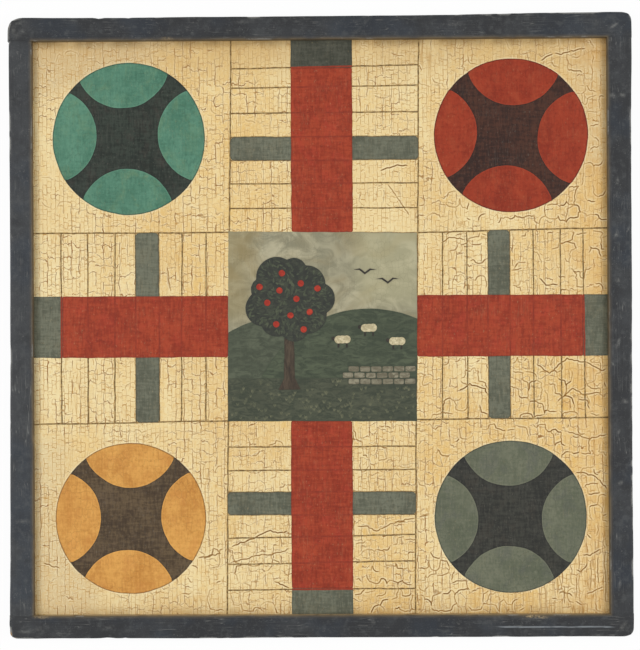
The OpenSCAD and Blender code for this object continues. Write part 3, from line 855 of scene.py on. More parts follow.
def coat_paint(
    name, dark, light, rim, worn=0.12, cracked=0.25, rim_share=0.5, patch_mm=24, through=CREAM_THROUGH,
    woven=0.0, stain=None, disc=None, paler_at=(), darker_at=()
):
    """A brushed colour coat over the cream: mottled, darker at its rim, chipped and crackled."""
    s = Shader(name)
    patch = s.noise(patch_mm, patch_mm * 1.4, detail=4, rough=0.6, shift=2.5, bend=0.4)
    streaks = s.noise(1.3, 34, shift=4.5)
    speckle = s.noise(2.0, 2.5, rough=0.6, shift=6.5)
    colour = s.cover(
        s.mix(s.step(patch, 0.34, 0.68, 0.2, 0.8), dark, light),
        (light, streaks, 0.52, 0.74, 0.25),
        (dark, streaks, 0.46, 0.26, 0.25),
        (dark, speckle, 0.5, 0.7, 0.5),
        (light, speckle, 0.48, 0.3, 0.45),
    )
    for places, tone in ((paler_at, light), (darker_at, dark)):
        if places:
            colour = s.mix(spots(s, places), colour, tone)
    if stain:
        stained = s.noise(11, 15, detail=4, rough=0.65, shift=18.5, bend=0.7)
        colour = s.cover(colour, (stain, stained, 0.48, 0.68, 0.45))
    if woven:
        weave = s.noise(1.6, 9, detail=2, rough=0.6, shift=20.5)
        weave += s.noise(9, 1.6, detail=2, rough=0.6, shift=22.5)
        colour = s.cover(colour, (light, weave, 1.0, 1.2, woven), (dark, weave, 1.0, 0.8, woven))
    hair = s.hairlines(1.3, 20, 0.03, shift=8.5) * s.step(s.noise(12, 20, shift=10.5), 0.44, 0.66)
    chips = s.step(s.noise(1.3, 2.6, detail=2, shift=16.5), 0.64, 0.72)
    net = s.net(4.2, 6.4, 0.07, 12.5) * s.step(s.noise(20, 24, detail=2, shift=14.5), 0.38, 0.6)
    colour = s.cover(colour, (through, s.most(hair * 0.6, chips) * worn), (rim, net * cracked))
    edge = s.value("rim") * s.step(speckle, 0.2, 0.6, 0.55, 1.0)
    if disc:
        outer = s.step(beyond_disc(s, disc), -2.2, -1.0)
        colour = s.mix(edge * (1.0 - outer) * 0.55, colour, light)
        edge = edge * outer
    colour = s.mix(edge * rim_share, colour, rim)
    height = streaks * 0.6 - net * 0.8 + speckle * 0.25
    return s.finish(colour, s.step(patch, 0.3, 0.7, 0.5, 0.66), height, 0.06)


def line_paint():
    """The thin, broken paint of the ruled lines."""
    s = Shader("line_paint")
    broken = s.noise(3.5, 3.5, detail=4, rough=0.7, shift=1.5)
    colour = s.mix(s.fade(broken, 0.42, 0.6, 0.62), (108, 84, 46), (190, 158, 102))
    grit = s.noise(0.7, 0.7, detail=2, shift=3.5)
    return s.finish(colour, s.step(grit, 0.3, 0.7, 0.6, 0.8), grit, 0.04)


PICTURE_CRACK = (60, 54, 42)


def picture_paint(name, dark, light, wide, tall, accent=None, tinted=()):
    """Brushed picture paint: strokes of about wide by tall millimetres between two tones."""
    s = Shader(name)
    strokes = s.noise(wide, tall, detail=4, rough=0.62, shift=1.2, bend=0.9)
    broad = s.noise(wide * 4, tall * 3, shift=2.2)
    weave = s.noise(0.9, 24, detail=2, shift=3.2)
    colour = s.mix(s.step(strokes, 0.36, 0.66), dark, light)
    colour = s.cover(colour, (dark, broad, 0.4, 0.62, 0.5))
    if accent:
        touched = s.noise(wide * 2.4, tall * 2, detail=4, shift=4.2, bend=1.0)
        colour = s.cover(colour, (accent, touched, 0.48, 0.7, 0.55))
    colour = s.cover(colour, *((tone, spots(s, places)) for tone, places in tinted))
    net = s.net(3.6, 5.2, 0.06, 5.2) * s.step(s.noise(15, 18, detail=2, shift=6.2), 0.42, 0.62)
    colour = s.cover(
        colour,
        (light, weave, 0.55, 0.75, 0.22),
        (PICTURE_CRACK, net * 0.22),
        (dark, s.value("rim") * 0.45),
    )
    return s.finish(colour, s.step(strokes, 0.3, 0.7, 0.48, 0.64), strokes * 0.8 + weave * 0.3, 0.12)


FRAME_DARK = (41, 42, 44)
FRAME_LIGHT = (60, 62, 64)
FRAME_BLUE = (44, 54, 66)
FRAME_PALE = (84, 86, 86)
STREAK_PALE = (150, 156, 160)
FRAME_WORN = (128, 128, 124)
SILL_BROWN = (104, 92, 72)
WALL_BROWN = (94, 80, 58)
WALL_CREAM = (178, 156, 118)
BARE_PINE = (150, 120, 84)
# The bare feet of the strips
FOOT_PINE = ((150, 112, 70), (196, 160, 112))


def frame_paint(name, along_x, wall_cream, lift, streak=None):
    """Blue-black paint on a strip, rubbed at its edges, with cream slopped on its inner wall."""
    s = Shader(name)
    long, cross = 70, 1.4
    wide, tall = (long, cross) if along_x else (cross, long)
    streaks = s.noise(wide, tall, cross * 1.3, shift=1.1)
    patch = s.noise(26, detail=4, rough=0.6, shift=2.1)
    speckle = s.noise(1.4, shift=3.1)
    bluish = s.noise(40, shift=8.1)
    flecks = s.noise(1.0, detail=1, shift=10.1)
    mottle = s.noise(5.5, rough=0.6, shift=13.1)
    scuffed = s.step(speckle, 0.6, 0.7) * s.step(s.noise(9, shift=4.1), 0.48, 0.66)
    scratch = s.hairlines(*((46, 2.2) if along_x else (2.2, 46)), 0.014, deep=2.2, shift=11.1)
    scratched = s.step(s.noise(16, shift=12.1), 0.46, 0.62)
    sill = s.step(s.noise(14, shift=9.1), 0.3, 0.6, 0.35, 0.85)
    wear = s.value("wear")
    colour = s.cover(
        s.mix(s.step(patch + lift, 0.34, 0.7), FRAME_DARK, FRAME_LIGHT),
        (FRAME_LIGHT, streaks, 0.52, 0.78, 0.4),
        (FRAME_DARK, streaks, 0.45, 0.25, 0.4),
        (FRAME_BLUE, bluish, 0.46, 0.66, 0.35),
        (FRAME_WORN, scuffed * 0.3),
        (FRAME_WORN, flecks, 0.62, 0.74, 0.14),
        (FRAME_DARK, flecks, 0.4, 0.28, 0.3),
        (FRAME_PALE, mottle, 0.5, 0.72, 0.36),
        (FRAME_DARK, mottle, 0.46, 0.26, 0.4),
        (FRAME_WORN, scratch * scratched * 0.5),
        (SILL_BROWN, s.value("sill") * sill),
        (FRAME_WORN, wear + speckle * 0.7, 0.72, 1.12, 0.75),
        (BARE_PINE, s.step(wear + speckle * 0.5, 1.36, 1.56)),
        (FRAME_WORN, s.value("scuff") * s.step(speckle, 0.3, 0.6, 0.35, 1.0)),
    )
    if streak:
        start, end, place, half = streak
        off = abs(s.y + (s.noise(30, 30, detail=2, shift=14.1) - 0.5) * 1.6 - place)
        run = s.step(s.x, start, start + 14) * s.step(s.x, end, end - 8)
        run = run * s.step(s.z, FRAME_TOP - 2, FRAME_TOP - 1)
        broken = s.step(s.noise(9, 3, shift=15.1), 0.34, 0.6, 0.35, 1.0)
        colour = s.mix(s.step(off, half, 0.3 * half) * run * broken * 0.6, colour, STREAK_PALE)
    slop_from = 0.66 - 0.4 * wall_cream
    slop = s.step(s.noise(11, 11, 4, detail=4, shift=5.1), slop_from, slop_from + 0.2)
    under = s.step(s.z + s.noise(6, shift=6.1) * 1.2, 0.95, 0.75)
    colour = s.cover(
        colour,
        (WALL_CREAM, s.value("smear") * s.step(speckle, 0.35, 0.6)),
        (s.mix(slop, WALL_BROWN, WALL_CREAM), s.value("wall") * 0.9),
        (s.mix(s.noise(wide, tall, 2, detail=4, shift=7.1), *FOOT_PINE), under),
    )
    return s.finish(colour, s.step(patch, 0.3, 0.7, 0.42, 0.58), streaks * 0.7 + speckle * 0.3, 0.1)


def pine():
    """Bare planks, each with its own grain."""
    s = Shader("pine")
    plank = s.math("FLOOR", s.math("DIVIDE", s.x + SEAM, 2 * SEAM))
    at = s.node("ShaderNodeCombineXYZ", {0: s.x * (1 / 70), 1: s.y * (1 / 420), 2: plank * 5.3})
    sway = s.node("ShaderNodeTexNoise", {"Vector": at, "Scale": 1.0, "Detail": 2.0})
    band = s.math("FRACT", s.x * 0.12 + plank * 0.37 + sway * 11.0)
    late = s.step(band, 0.45, 0.92) * s.step(band, 1.0, 0.94)
    fibres = s.noise(0.5, 30, 0.8, shift=2.3)
    dirt = s.noise(40, 55, 40, detail=4, shift=3.3)
    colour = s.cover(
        s.mix(late, (190, 152, 102), (142, 98, 56)),
        ((120, 86, 52), fibres, 0.5, 0.75, 0.4),
        ((104, 82, 58), dirt, 0.48, 0.7, 0.5),
        ((160, 118, 74), s.chance(plank, 0.0, 0.5), 0.2, 0.9, 0.35),
    )
    return s.finish(colour, s.step(fibres, 0.3, 0.7, 0.62, 0.8), fibres * 0.6 + late * 0.3, 0.12)


def nail_iron():
    """Dull iron with a little rust."""
    s = Shader("nail_iron")
    rust = s.noise(1.6, detail=4, rough=0.65, shift=1.4)
    colour = s.mix(s.step(rust, 0.42, 0.62), (62, 58, 55), (88, 64, 46))
    return s.finish(colour, s.step(rust, 0.3, 0.7, 0.45, 0.8), rust, 0.08, specular=0.5, Metallic=0.6)


# Painted layers

COAT_INSETS = (0.35, 1.1)
COAT_DROP = 0.06
# How far the coats' undersides are sunk in the ground
SUNK = 0.12
COAT_LOW = GROUND_TOP - SUNK


def coat(node, material, step=OUTLINE_STEP, passes=0, insets=COAT_INSETS, top=COAT_TOP, spread=0.0):
    """The brushed layer that stands for a coat's node, with its outline spread a little."""
    loops = [inset(warp(soften(resample(loop, step), passes)), -spread) for loop in outlines(node)]
    parts = [sheet_of_paint(group, COAT_LOW, top, COAT_DROP, insets) for group in islands(loops)]
    piece(node + "_paint", parts, material, [node])


COLOUR_COATS = [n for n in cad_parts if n.startswith(("red_", "end_", "safe_", "cross_", "lenses_"))]
PICTURE = [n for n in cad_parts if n.startswith("picture_")]
PICTURE_POINTS = [tuple(p) for n in PICTURE for loop in outlines(n) for p in loop]
PICTURE_LOOP = np.array([PICTURE_POINTS[i] for i in geometry.convex_hull_2d(PICTURE_POINTS)])

crack_map = CrackMap(grow_cracks([PICTURE_LOOP] + [loop for n in COLOUR_COATS for loop in outlines(n)]))

# The ground, tile by tile, so that each keeps its own fine finish. The middle one is hidden.
cream = cream_paint()
bounds = [-FIELD - UNDER_FRAME, -SEAM, SEAM, FIELD + UNDER_FRAME]
for column, x0, x1 in zip(("left", "middle", "right"), bounds, bounds[1:]):
    for row, y0, y1 in zip(("lower", "centre", "upper"), bounds, bounds[1:]):
        tile = resample(np.array([(x0, y0), (x1, y0), (x1, y1), (x0, y1)]), GRID / 2)
        shown = None if (row, column) == ("centre", "middle") else crack_map
        solid = sheet_of_paint([tile], PLANK_TOP, GROUND_TOP, 0.0, (), shown)
        piece(f"ground_{row}_{column}", [solid], cream, ["ground_coat"])

lines = line_paint()
for node, spread in (("long_lines", 0.06), ("space_lines", 0.17)):
    coat(node, lines, step=1.6, insets=(0.22,), top=LINE_TOP - 0.02, spread=spread)

red = coat_paint(
    "red_paint", (128, 40, 20), (172, 70, 42), (88, 30, 18), worn=0.18, patch_mm=13, woven=0.5,
    stain=(176, 62, 44)
)
for side in ("top", "bottom", "left", "right"):
    coat(f"red_track_{side}", red, passes=1)

# How far a line's inner end is from the arm's middle at most, and how far its two halves differ
ROW_REACH, ROW_STRAY = 34, 4
MARK_WIDTH, MARK_STEP, MARK_RISE = 1.3, 2.5, 0.02
# So wide a grid puts no points inside a mark
NO_GRID = 60


def row_marks():
    """Thin ridges where the ruled lines run on under the tracks, between the lines' ends."""
    ends = []
    for loop in outlines("space_lines"):
        wide, tall = loop.max(0) - loop.min(0)
        run = 0 if wide > tall else 1
        inner = np.abs(loop[:, run])
        ends.append((run, loop[inner < inner.min() + 1].mean(0)))
    marks = []
    for run, a in ends:
        far = [b for other, b in ends if other == run and a[run] < 0 < b[run] < ROW_REACH]
        near = [b for b in far if abs(b[1 - run] - a[1 - run]) < ROW_STRAY and abs(a[run]) < ROW_REACH]
        if near:
            side = np.roll([0, MARK_WIDTH / 2], run)
            loop = np.array([a - side, near[0] - side, near[0] + side, a + side])
            loop = warp(resample(loop if run == 0 else loop[::-1], MARK_STEP))
            marks.append(sheet_of_paint([loop], COAT_LOW, COAT_TOP + MARK_RISE, 0.0, (), grid=NO_GRID))
    return marks


piece("track_row_marks", row_marks(), coat_paint(
    "red_mark_paint", (126, 42, 25), (164, 64, 40), (120, 40, 24), worn=0.16, rim_share=0.2, patch_mm=9
))

grey_green = coat_paint(
    "grey_green_paint", (76, 78, 64), (118, 120, 102), (58, 58, 48), worn=0.16, woven=0.5,
    stain=(116, 112, 90), paler_at=[(-137, 48, 20, 36, 0.45)],
    darker_at=[(222, -1, 20, 30, 0.25), (52, 142, 24, 18, 0.22)]
)
shaded_green = coat_paint("shaded_green_paint", (50, 52, 42), (84, 84, 72), (36, 38, 32), worn=0.1, woven=0.5)
for side in ("top", "bottom", "left", "right"):
    coat(f"end_space_{side}", shaded_green if side == "top" else grey_green)
    coat(f"safe_spaces_{side}", grey_green)

# Each home's cross and lenses: dark tone, light tone and the stain in patches for both, and how
# far the lenses' paint runs past their cut outline, in millimetres
DISCS = {
    "green": (
        (16, 24, 18), (55, 63, 55), (62, 54, 48), (60, 106, 85), (98, 146, 122), (104, 134, 100), 0.05,
    ),
    "red": (
        (30, 10, 5), (78, 47, 34), (50, 32, 24), (122, 34, 12), (164, 62, 36), (168, 74, 44), 0.22,
    ),
    "ochre": (
        (50, 36, 22), (104, 86, 62), (104, 86, 66), (186, 124, 52), (230, 172, 90), (206, 140, 70), 0.16,
    ),
    "slate": (
        (26, 27, 24), (63, 63, 56), (62, 56, 48), (82, 88, 70), (118, 120, 100), (88, 90, 84), 0.05,
    ),
}
# The rims' tones as shares of the dark tones
CROSS_RIM, LENS_RIM = 0.5, 0.42

for tint, (dark, light, stain, lens_dark, lens_light, lens_stain, spread) in DISCS.items():
    cross_slot = tint + "_disc_ground"
    lens_slot = "lens_red_paint" if tint == "red" else tint + "_paint"
    cross = coat_paint(
        cross_slot, dark, light, [CROSS_RIM * c for c in dark], worn=0.35, patch_mm=30, through=GREY_THROUGH,
        woven=0.55, stain=stain
    )
    coat(f"cross_{tint}", cross)
    lens = coat_paint(
        lens_slot, lens_dark, lens_light, [LENS_RIM * c for c in lens_dark], worn=0.1, cracked=0.22,
        rim_share=0.85, patch_mm=17, woven=0.25, stain=lens_stain, disc=tint
    )
    coat(f"lenses_{tint}", lens, spread=spread)

# The centre picture

# How far the first coat lies below the others
UNDER_COAT = 0.12

under_paint = picture_paint("under_paint", (62, 58, 48), (82, 78, 64), 5, 5)
picture_outline = warp(resample(PICTURE_LOOP, OUTLINE_STEP))
solid = sheet_of_paint([picture_outline], COAT_LOW, COAT_TOP - UNDER_COAT, COAT_DROP, COAT_INSETS)
piece("picture_underpaint", [solid], under_paint)

# The motifs: node, paint, dark and light tone, the strokes' width and height, how often the
# outline is softened, and height above the other coats
MOTIFS = [
    ("sky", "sky", (138, 134, 110), (182, 175, 146), 17, 13, 0, 0.0),
    ("far_hill", "far_hill", (66, 72, 58), (92, 98, 80), 9, 4, 0, 0.02),
    ("near_hill", "near_hill", (58, 66, 52), (86, 94, 74), 10, 4, 0, 0.03),
    ("meadow", "meadow", (56, 62, 50), (84, 87, 70), 7, 3, 0, 0.04),
    ("wall", "stone", (104, 98, 80), (150, 144, 122), 5, 3, 2, 0.1),
    ("trunk", "trunk", (52, 44, 36), (84, 72, 58), 2, 10, 1, 0.08),
    ("crown", "crown", (44, 46, 42), (66, 70, 58), 4, 3, 1, 0.1),
    ("apples", "apple", (150, 44, 32), (186, 66, 46), 3, 3, 1, 0.16),
    ("fleeces", "fleece", (176, 164, 128), (222, 210, 172), 2, 2, 1, 0.14),
    ("dark_details", "detail", (42, 38, 34), (62, 58, 50), 3, 3, 0, 0.1),
]
BROAD = ("sky", "far_hill", "near_hill", "meadow")
# The sky's third tone, and its tones in places of their own
SKY_TONES = {
    "accent": (140, 124, 86),
    "tinted": [((186, 180, 142), [(56, 50, 26, 32, 0.5)]), ((150, 133, 88), [(-70, 44, 16, 38, 0.5)])],
}
# Spacing of the outline's points and insets of the small motifs
SMALL_STEP, SMALL_INSETS = 0.8, (0.25, 0.7)

for motif, paint, dark, light, wide, tall, passes, lift in MOTIFS:
    tones = SKY_TONES if motif == "sky" else {}
    material = picture_paint(paint + "_paint", dark, light, wide, tall, **tones)
    step, insets = (OUTLINE_STEP, COAT_INSETS) if motif in BROAD else (SMALL_STEP, SMALL_INSETS)
    coat("picture_" + motif, material, step, passes, insets, COAT_TOP + lift)

DAB_SIDES, DAB_RISE = 10, 0.05
# How many leaves and tufts of grass there are, how high they stand over the coats, and how
# clear they keep of the motifs before them
LEAVES, LEAF_LIFT, TUFTS, TUFT_LIFT, DAB_GAP = 230, 0.14, 130, 0.08, 1.8


def dab(x, y, half_long, half_wide, angle, top):
    """One stroke of a small brush as a closed solid, raised in its middle."""
    n = DAB_SIDES
    turn = np.arange(n) * 2 * math.pi / n
    u, v = half_long * np.cos(turn), half_wide * np.sin(turn) * (1 - 0.35 * np.cos(turn))
    c, s = math.cos(angle), math.sin(angle)
    rim = np.column_stack([x + u * c - v * s, y + u * s + v * c])
    upper = np.column_stack([rim, top + relief(*rim.T)])
    lower = np.column_stack([rim, np.full(n, COAT_LOW)])
    crest = (x, y, top + DAB_RISE + float(relief(np.array([x]), np.array([y]))[0]))
    faces = [(i, (i + 1) % n, 2 * n) for i in range(n)]
    faces += [((i + 1) % n, i, n + i, n + (i + 1) % n) for i in range(n)]
    faces.append(tuple(range(2 * n - 1, n - 1, -1)))
    return np.vstack([upper, lower, crest]), faces, {"rim": np.zeros(2 * n + 1)}


def scatter(node, count, margin, away_from, gap, rng):
    """Even random places inside a node's outlines and clear of the loops in away_from."""
    loops = outlines(node)
    lowest, highest = np.vstack(loops).min(0), np.vstack(loops).max(0)
    kept = []
    for point in rng.uniform(lowest, highest, (count * 8, 2)):
        here = point[None]
        if len(kept) < count and inside(here, loops)[0] and distance(here, loops)[0] > margin:
            if distance(here, away_from)[0] > gap and not inside(here, away_from)[0]:
                kept.append(point)
    return kept


rng = np.random.default_rng(61)
crown_middle = np.vstack(outlines("picture_crown")).mean(0)
leaves = []
for x, y in scatter("picture_crown", LEAVES, 1.6, outlines("picture_apples"), DAB_GAP, rng):
    outward = math.atan2(y - crown_middle[1], x - crown_middle[0]) + rng.uniform(-0.9, 0.9)
    leaves.append(dab(x, y, rng.uniform(1.3, 2.3), rng.uniform(0.5, 0.8), outward, COAT_TOP + LEAF_LIFT))
leaf = picture_paint("leaf_paint", (60, 66, 54), (84, 90, 70), 3, 3)
piece("picture_leaves", leaves, leaf)
raised = [loop for motif, *_ in MOTIFS if motif not in BROAD for loop in outlines("picture_" + motif)]
tufts = []
for x, y in scatter("picture_meadow", TUFTS, 1.8, raised, DAB_GAP, rng):
    for lean in (-0.35, 0.0, 0.35):
        half_long = rng.uniform(0.9, 1.7)
        tufts.append(dab(x + 2 * lean, y, half_long, 0.32, math.pi / 2 - lean, COAT_TOP + TUFT_LIFT))
grass = picture_paint("grass_paint", (78, 82, 64), (112, 112, 88), 3, 3)
piece("picture_grass", tufts, grass)

# The frame's strips

# Spacing of the cuts along a strip, across it and upwards
LENGTH_STEP, WIDTH_STEP, HEIGHT_STEP = 2.4, 1.5, 2.4
# Rounding of the strips' upper edges, and the dip that is left of it along a corner's butt line
ARRIS, BUTT_DIP = 1.6, 0.12
# How deep the most worn edges are rubbed down, and how far in from the outer faces
WEAR_DEPTH, WEAR_REACH = 0.35, 3
# How deep under the outer faces the plane's marks reach, and where below the top its lift fades
SKIN, LIFT_FADE = 1.8, (7, 0.5)
# Rubbed marks: middle, length, direction in degrees and strength
SCUFFS = [
    (234, 237, 5, 30, 0.9), (232, 182, 4, 10, 0.7), (240, 182, 3, 0, 0.8), (236, 115, 4, 80, 0.6),
    (235, 72, 5, 60, 0.7), (236, 36, 3, 20, 0.6), (236, -14, 7, 75, 0.7), (241, -60, 4, 15, 0.6),
    (236, -84, 3, 60, 0.5), (237, -125, 4, 30, 0.7), (236, -205, 5, 80, 0.6), (-238, -154, 12, 4, 0.4),
    (110, 240, 9, 2, 0.3), (-60, 243, 12, 1, 0.3), (40, -236, 6, 70, 0.4), (-170, -238, 8, 20, 0.3),
    (239, -238, 6, 60, 0.7), (-243, 238, 7, 100, 0.45), (-238, 243, 8, 20, 0.4), (-236, 236, 7, 50, 0.4),
    (-241, 232, 6, 80, 0.35), (-236, -241, 9, 0, 0.4), (-225, -239, 6, 10, 0.35),
]
# Smears of cream on the frame, as the scuffs
SMEARS = [
    (166, -230, 9, 4, 0.9), (174, -230.6, 8, -6, 0.8), (-222, -229.6, 10, 0, 0.5), (-120, 229.8, 8, 0, 0.4),
]
# Half the width of all marks, and how far below the frame's top they reach
MARK_HALF_WIDTH, MARK_DEPTH = 0.9, 2
# How much more of the bottom rail's outer face was planed away
PLANED = 0.35
# Nicks in the rails' outer faces: place along the rail, its side, half their width and depth
NICKS = [(-175, 1, 2.8, 0.7), (-152, 1, 1.6, 0.45), (-170, -1, 4.0, 0.6), (-156, -1, 1.6, 0.4)]

# How far the strips' outer faces stand out from straight: places along the strip and distances
STRAY_LEFT = (
    (-228, -218, -187, -99, 4, 100, 180, 212, 226), (1.0, 1.0, 0.5, 0.1, -0.3, -0.4, 0.1, 0.25, 0)
)
STRAY_RIGHT = (-228, -187, -99, 4, 100, 180, 212, 226), (0.1, 0.2, -0.1, 0.3, 0.3, 0.65, 1.1, 1.1)
STRAY_TOP = (-240, -207, -159, -96, 0, 104, 191, 235), (0.5, 0.25, -0.2, 0.15, 0.05, 0.25, 1.6, 1.75)
STRAY_BOTTOM = (-230, -207, -96, 0, 104, 191, 223, 240), (0.3, 0, 0.3, -0.15, -0.2, -0.25, -0.4, -0.25)
# The same at the rails' ends: top left, top right, bottom left and bottom right
STRAY_ENDS = {(-1, 1): 0.45, (1, 1): 0.65, (-1, -1): 0.7, (1, -1): -0.35}
# How round the frame's corners are worn, and how round they were cut
WORN_CORNERS = {(-1, 1): 10.5, (1, 1): 7.5, (-1, -1): 6.0, (1, -1): 7.5}
CUT_CORNER = 5.0


def stray(points, rail):
    """The points of a strip moved with its outer faces, and its corners worn round."""
    x, y = points[:, 0], points[:, 1]
    reach_x = smooth(np.abs(x), FIELD + 1, STILE_OUTER - 1)
    reach_y = smooth(np.abs(y), FIELD + 1, RAIL_OUTER - 1)
    left, right = (np.interp(y, *table) for table in (STRAY_LEFT, STRAY_RIGHT))
    top, bottom = (np.interp(x, *table) for table in (STRAY_TOP, STRAY_BOTTOM))
    if rail:
        left, right = (np.where(y > 0, STRAY_ENDS[side, 1], STRAY_ENDS[side, -1]) for side in (-1, 1))
    moved = points.copy()
    for (side_x, side_y), round_mm in WORN_CORNERS.items():
        u, v = side_x * x - RAIL_END + round_mm, side_y * y - RAIL_OUTER + round_mm
        away = np.hypot(u, v) + 1e-9
        c, s = u / away, v / away
        inner = round_mm - CUT_CORNER
        arc = inner * (c + s) + np.sqrt(np.maximum((inner * (c + s)) ** 2 - 2 * inner**2 + CUT_CORNER**2, 0))
        face = round_mm / np.maximum(np.maximum(c, s), 1e-9)
        limit = np.where(np.minimum(c, s) * face <= inner, face, arc)
        start = 0.5 * round_mm
        share = (round_mm - start) / np.maximum(limit - start, 1e-9)
        here = (u > 0) & (v > 0) & (away > start)
        pull = np.where(here, start + (away - start) * share, away) - away
        moved[:, 0] += side_x * c * pull
        moved[:, 1] += side_y * s * pull
    moved[:, 0] += reach_x * np.where(x < 0, -left, right)
    moved[:, 1] += reach_y * np.where(y < 0, -bottom, top)
    return moved


def beyond_frame(x, y):
    """How far each place is outside the frame's outer faces. Inside them it is negative."""
    return np.maximum(np.abs(x) - STILE_OUTER, np.abs(y) - RAIL_OUTER)


def over_field(x, y):
    """How far each place is inside the frame's inner walls. Outside them it is negative."""
    return FIELD - np.maximum(np.abs(x), np.abs(y))


def outer_sides(x, y, depth):
    """The outward direction, as -1, 0 or 1 along X and Y, of places in the outer faces' skin."""
    side_x = np.sign(x) * (np.abs(x) > STILE_OUTER - depth)
    return side_x, np.sign(y) * (np.abs(y) > RAIL_OUTER - depth)


def strip_sway(x, y, z):
    """How far the strips' faces stray, the same at each place for both pieces of a joint."""
    upper = smooth(z, *(FRAME_TOP - depth for depth in LIFT_FADE))
    lift = upper * (0.10 * noise(x, y, 34, 34, 51) + 0.04 * noise(x, y, 8, 8, 52))
    face = smooth(beyond_frame(x, y), -SKIN, -0.2)
    side_x, side_y = outer_sides(x, y, SKIN)
    planed = 0.10 * noise(x + y, z + x - y, 40, 26, 53) + 0.05 * noise(x + y, z, 9, 9, 54) - 0.05
    planed = np.minimum(planed, 0)
    rail_planed = planed - PLANED * (y < 0)
    for at, side, half, depth in NICKS:
        rail_planed -= depth * np.exp(-((x - at) / half) ** 2) * (side_y == side) * upper
    return np.column_stack([face * side_x * planed, face * side_y * rail_planed, lift])


def edge_wear(x, y, z):
    """How worn each place is, 0 to 1: the upper arrises most, in patches."""
    arris = np.maximum(smooth(beyond_frame(x, y), -2.6, -0.6), 0.8 * smooth(over_field(x, y), -2.2, -0.3))
    near_top = smooth(z, FRAME_TOP - 3.2, FRAME_TOP - 1.0)
    corner = smooth(np.minimum(np.abs(x), np.abs(y)), STILE_OUTER - 14, STILE_OUTER - 2)
    patches = smooth(noise(x, y, 24, 24, 55) + 0.7 * noise(x, y, 5, 5, 56), 0.0, 1.1)
    return near_top * arris * (0.25 + 0.75 * patches) + 0.35 * near_top * arris * corner


def marks_at(x, y, marks):
    """Strength of the strongest mark at each place."""
    most = np.zeros(len(x))
    for at_x, at_y, size, angle, strength in marks:
        c, s = math.cos(math.radians(angle)), math.sin(math.radians(angle))
        u, v = (x - at_x) * c + (y - at_y) * s, (y - at_y) * c - (x - at_x) * s
        most = np.maximum(most, strength * np.exp(-((2 * u / size) ** 2) - (v / MARK_HALF_WIDTH) ** 2))
    return most


def finely_cut(node):
    """A copy of a strip's CAD mesh with many cuts across it."""
    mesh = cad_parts[node].data.copy()
    cut = bmesh.new()
    cut.from_mesh(mesh)
    bmesh.ops.remove_doubles(cut, verts=cut.verts, dist=1e-6)
    low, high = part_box(node)
    steps = [LENGTH_STEP, WIDTH_STEP, HEIGHT_STEP]
    if high.x - low.x <= high.y - low.y:
        steps = [WIDTH_STEP, LENGTH_STEP, HEIGHT_STEP]
    for axis in sorted(range(3), key=lambda k: high[k] - low[k]):
        count = round((high[axis] - low[axis]) / MM / steps[axis])
        normal = Vector([axis == k for k in range(3)])
        for share in np.arange(1, count) / count:
            place = low.copy()
            place[axis] += share * (high[axis] - low[axis])
            every = cut.verts[:] + cut.edges[:] + cut.faces[:]
            bmesh.ops.bisect_plane(cut, geom=every, dist=2e-6, plane_co=place, plane_no=normal)
    cut.to_mesh(mesh)
    cut.free()
    return mesh


def strip(node, wall_cream, lift, streak=None):
    """A frame strip as a worn, hand-planed mesh cut finely from its CAD node."""
    kind, side = node.split("_")
    rail = kind == "rail"
    mesh = finely_cut(node)
    points = np.zeros(len(mesh.vertices) * 3, np.float32)
    mesh.vertices.foreach_get("co", points)
    points = points.reshape(-1, 3).astype(float) / MM
    x, y, z = points.T
    wear = edge_wear(x, y, z)
    outward_x, outward_y = outer_sides(x, y, WEAR_REACH)
    inward = np.column_stack([-outward_x, -outward_y, -np.ones(len(x))])
    moved = points + strip_sway(x, y, z) + WEAR_DEPTH * (wear**1.5)[:, None] * inward
    lapped = smooth(np.abs(x), FIELD - 0.2, FIELD + 2.2) * (np.abs(y) > FIELD - 0.01)
    lapped *= (np.abs(y) < FIELD + ARRIS) * (z > FRAME_TOP - ARRIS + 0.02)
    moved[:, 2] += lapped * (FRAME_TOP - BUTT_DIP - z)
    mesh.vertices.foreach_set("co", (stray(moved, rail) * MM).astype(np.float32).ravel())
    inner, on_top = over_field(x, y), z > FRAME_TOP - MARK_DEPTH
    give(mesh, {
        "wear": wear,
        "wall": smooth(inner, -1.0, -0.1) * smooth(z, FRAME_TOP - 0.2, FRAME_TOP - 1.8),
        "sill": smooth(inner, -2.3, -0.3),
        "scuff": marks_at(x, y, SCUFFS) * on_top,
        "smear": marks_at(x, y, SMEARS) * on_top,
    })
    material = frame_paint("frame_paint_" + side, rail, wall_cream, lift, streak)
    add(node + "_worn", mesh, material, [node])


# The streak on the bottom rail: its start and end along X, its place along Y and half its width
STREAK = (134, 234, -238.6, 0.9)

# With each strip goes how much cream its wall has, and how light its paint is
strip("rail_top", 0.15, -0.08)
strip("rail_bottom", 0.95, -0.1, STREAK)
strip("stile_left", 0.2, 0.1)
strip("stile_right", 0.2, -0.05)

# What keeps its CAD shape

for nodes, material in (
    (("plank_left", "plank_centre", "plank_right"), pine()),
    (("rail_nails", "stile_nails", "corner_nails"), nail_iron()),
):
    for node in nodes:
        dress(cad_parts[node].data, material)

# Camera, over the board and turned a little from upright, as the photograph shows

CAMERA_PLACE = (0.01895, -0.0044, 1.400)
CAMERA_TURN_DEG = (0.24, 0.79, -0.298)
LENS_MM = 96.36

camera = placed("camera", bpy.data.cameras.new("camera"))
camera.location = CAMERA_PLACE
camera.rotation_euler = [math.radians(a) for a in CAMERA_TURN_DEG]
camera.data.lens = LENS_MM
bpy.context.scene.camera = camera

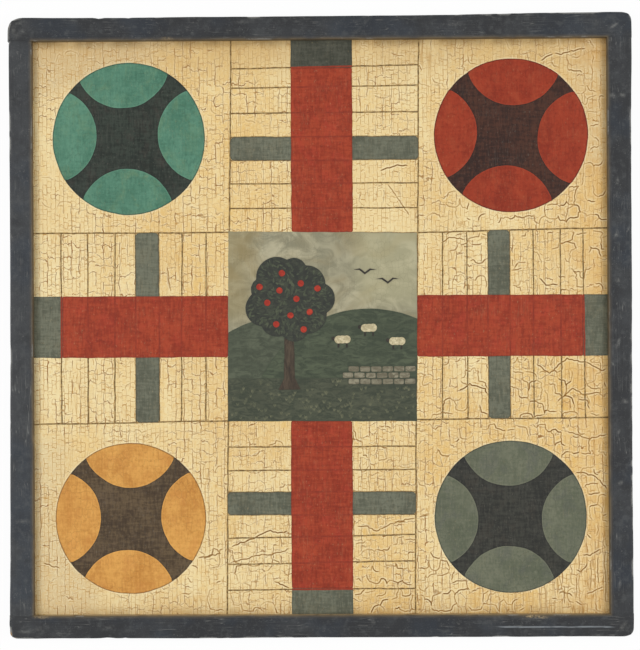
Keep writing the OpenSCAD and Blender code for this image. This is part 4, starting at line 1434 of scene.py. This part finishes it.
# Two soft copy lamps at the sides, over a plain fill

LAMP_DISTANCE, LAMP_ANGLE, LAMP_SIDE, LAMP_POWER = 2.2, math.radians(45), 0.9, 18.0
FILL = 0.46

for side in (-1, 1):
    lamp = bpy.data.lights.new("lamp", "AREA")
    lamp.shape, lamp.size, lamp.energy = "SQUARE", LAMP_SIDE, LAMP_POWER
    made = placed("lamp", lamp)
    made.location = (side * LAMP_DISTANCE * math.sin(LAMP_ANGLE), 0, LAMP_DISTANCE * math.cos(LAMP_ANGLE))
    made.rotation_euler = (0, side * LAMP_ANGLE, 0)

# White where it is seen, and the plain fill for all else

world = bpy.data.worlds.new("world")
bpy.context.scene.world = world
n = Nodes(world)
strength = n.node("ShaderNodeMapRange", {"Value": n.seen(), "To Min": FILL, "To Max": 1.0})
background = n.node("ShaderNodeBackground", {"Color": (1, 1, 1, 1), "Strength": strength})
n.node("ShaderNodeOutputWorld", {"Surface": background})

# The floor: nearly all glow to the rays that see it, and plain matt to all others

FLOOR_HALF = 6.0
FLOOR_GLOW = 0.945
FLOOR_TONE = 0.8

floor_mesh = bpy.data.meshes.new("floor")
corners = [(x * FLOOR_HALF, y * FLOOR_HALF, 0) for x, y in ((-1, -1), (1, -1), (1, 1), (-1, 1))]
floor_mesh.from_pydata(corners, [], [(0, 1, 2, 3)])
floor = placed("floor", floor_mesh)
floor_paint = bpy.data.materials.new("floor_paint")
n = Nodes(floor_paint)
seen = n.seen()
glow = n.node("ShaderNodeMapRange", {"Value": seen, "To Max": FLOOR_GLOW})
tone = n.node("ShaderNodeMapRange", {"Value": seen, "To Min": FLOOR_TONE, "To Max": 1.0 - FLOOR_GLOW})
glowing = n.node("ShaderNodeEmission", {"Strength": glow})
matt = n.node("ShaderNodeBsdfDiffuse", {"Color": tone})
both = n.node("ShaderNodeAddShader", {0: glowing, 1: matt})
n.node("ShaderNodeOutputMaterial", {"Surface": both})
floor_mesh.materials.append(floor_paint)

bpy.context.scene.view_settings.view_transform = "Standard"
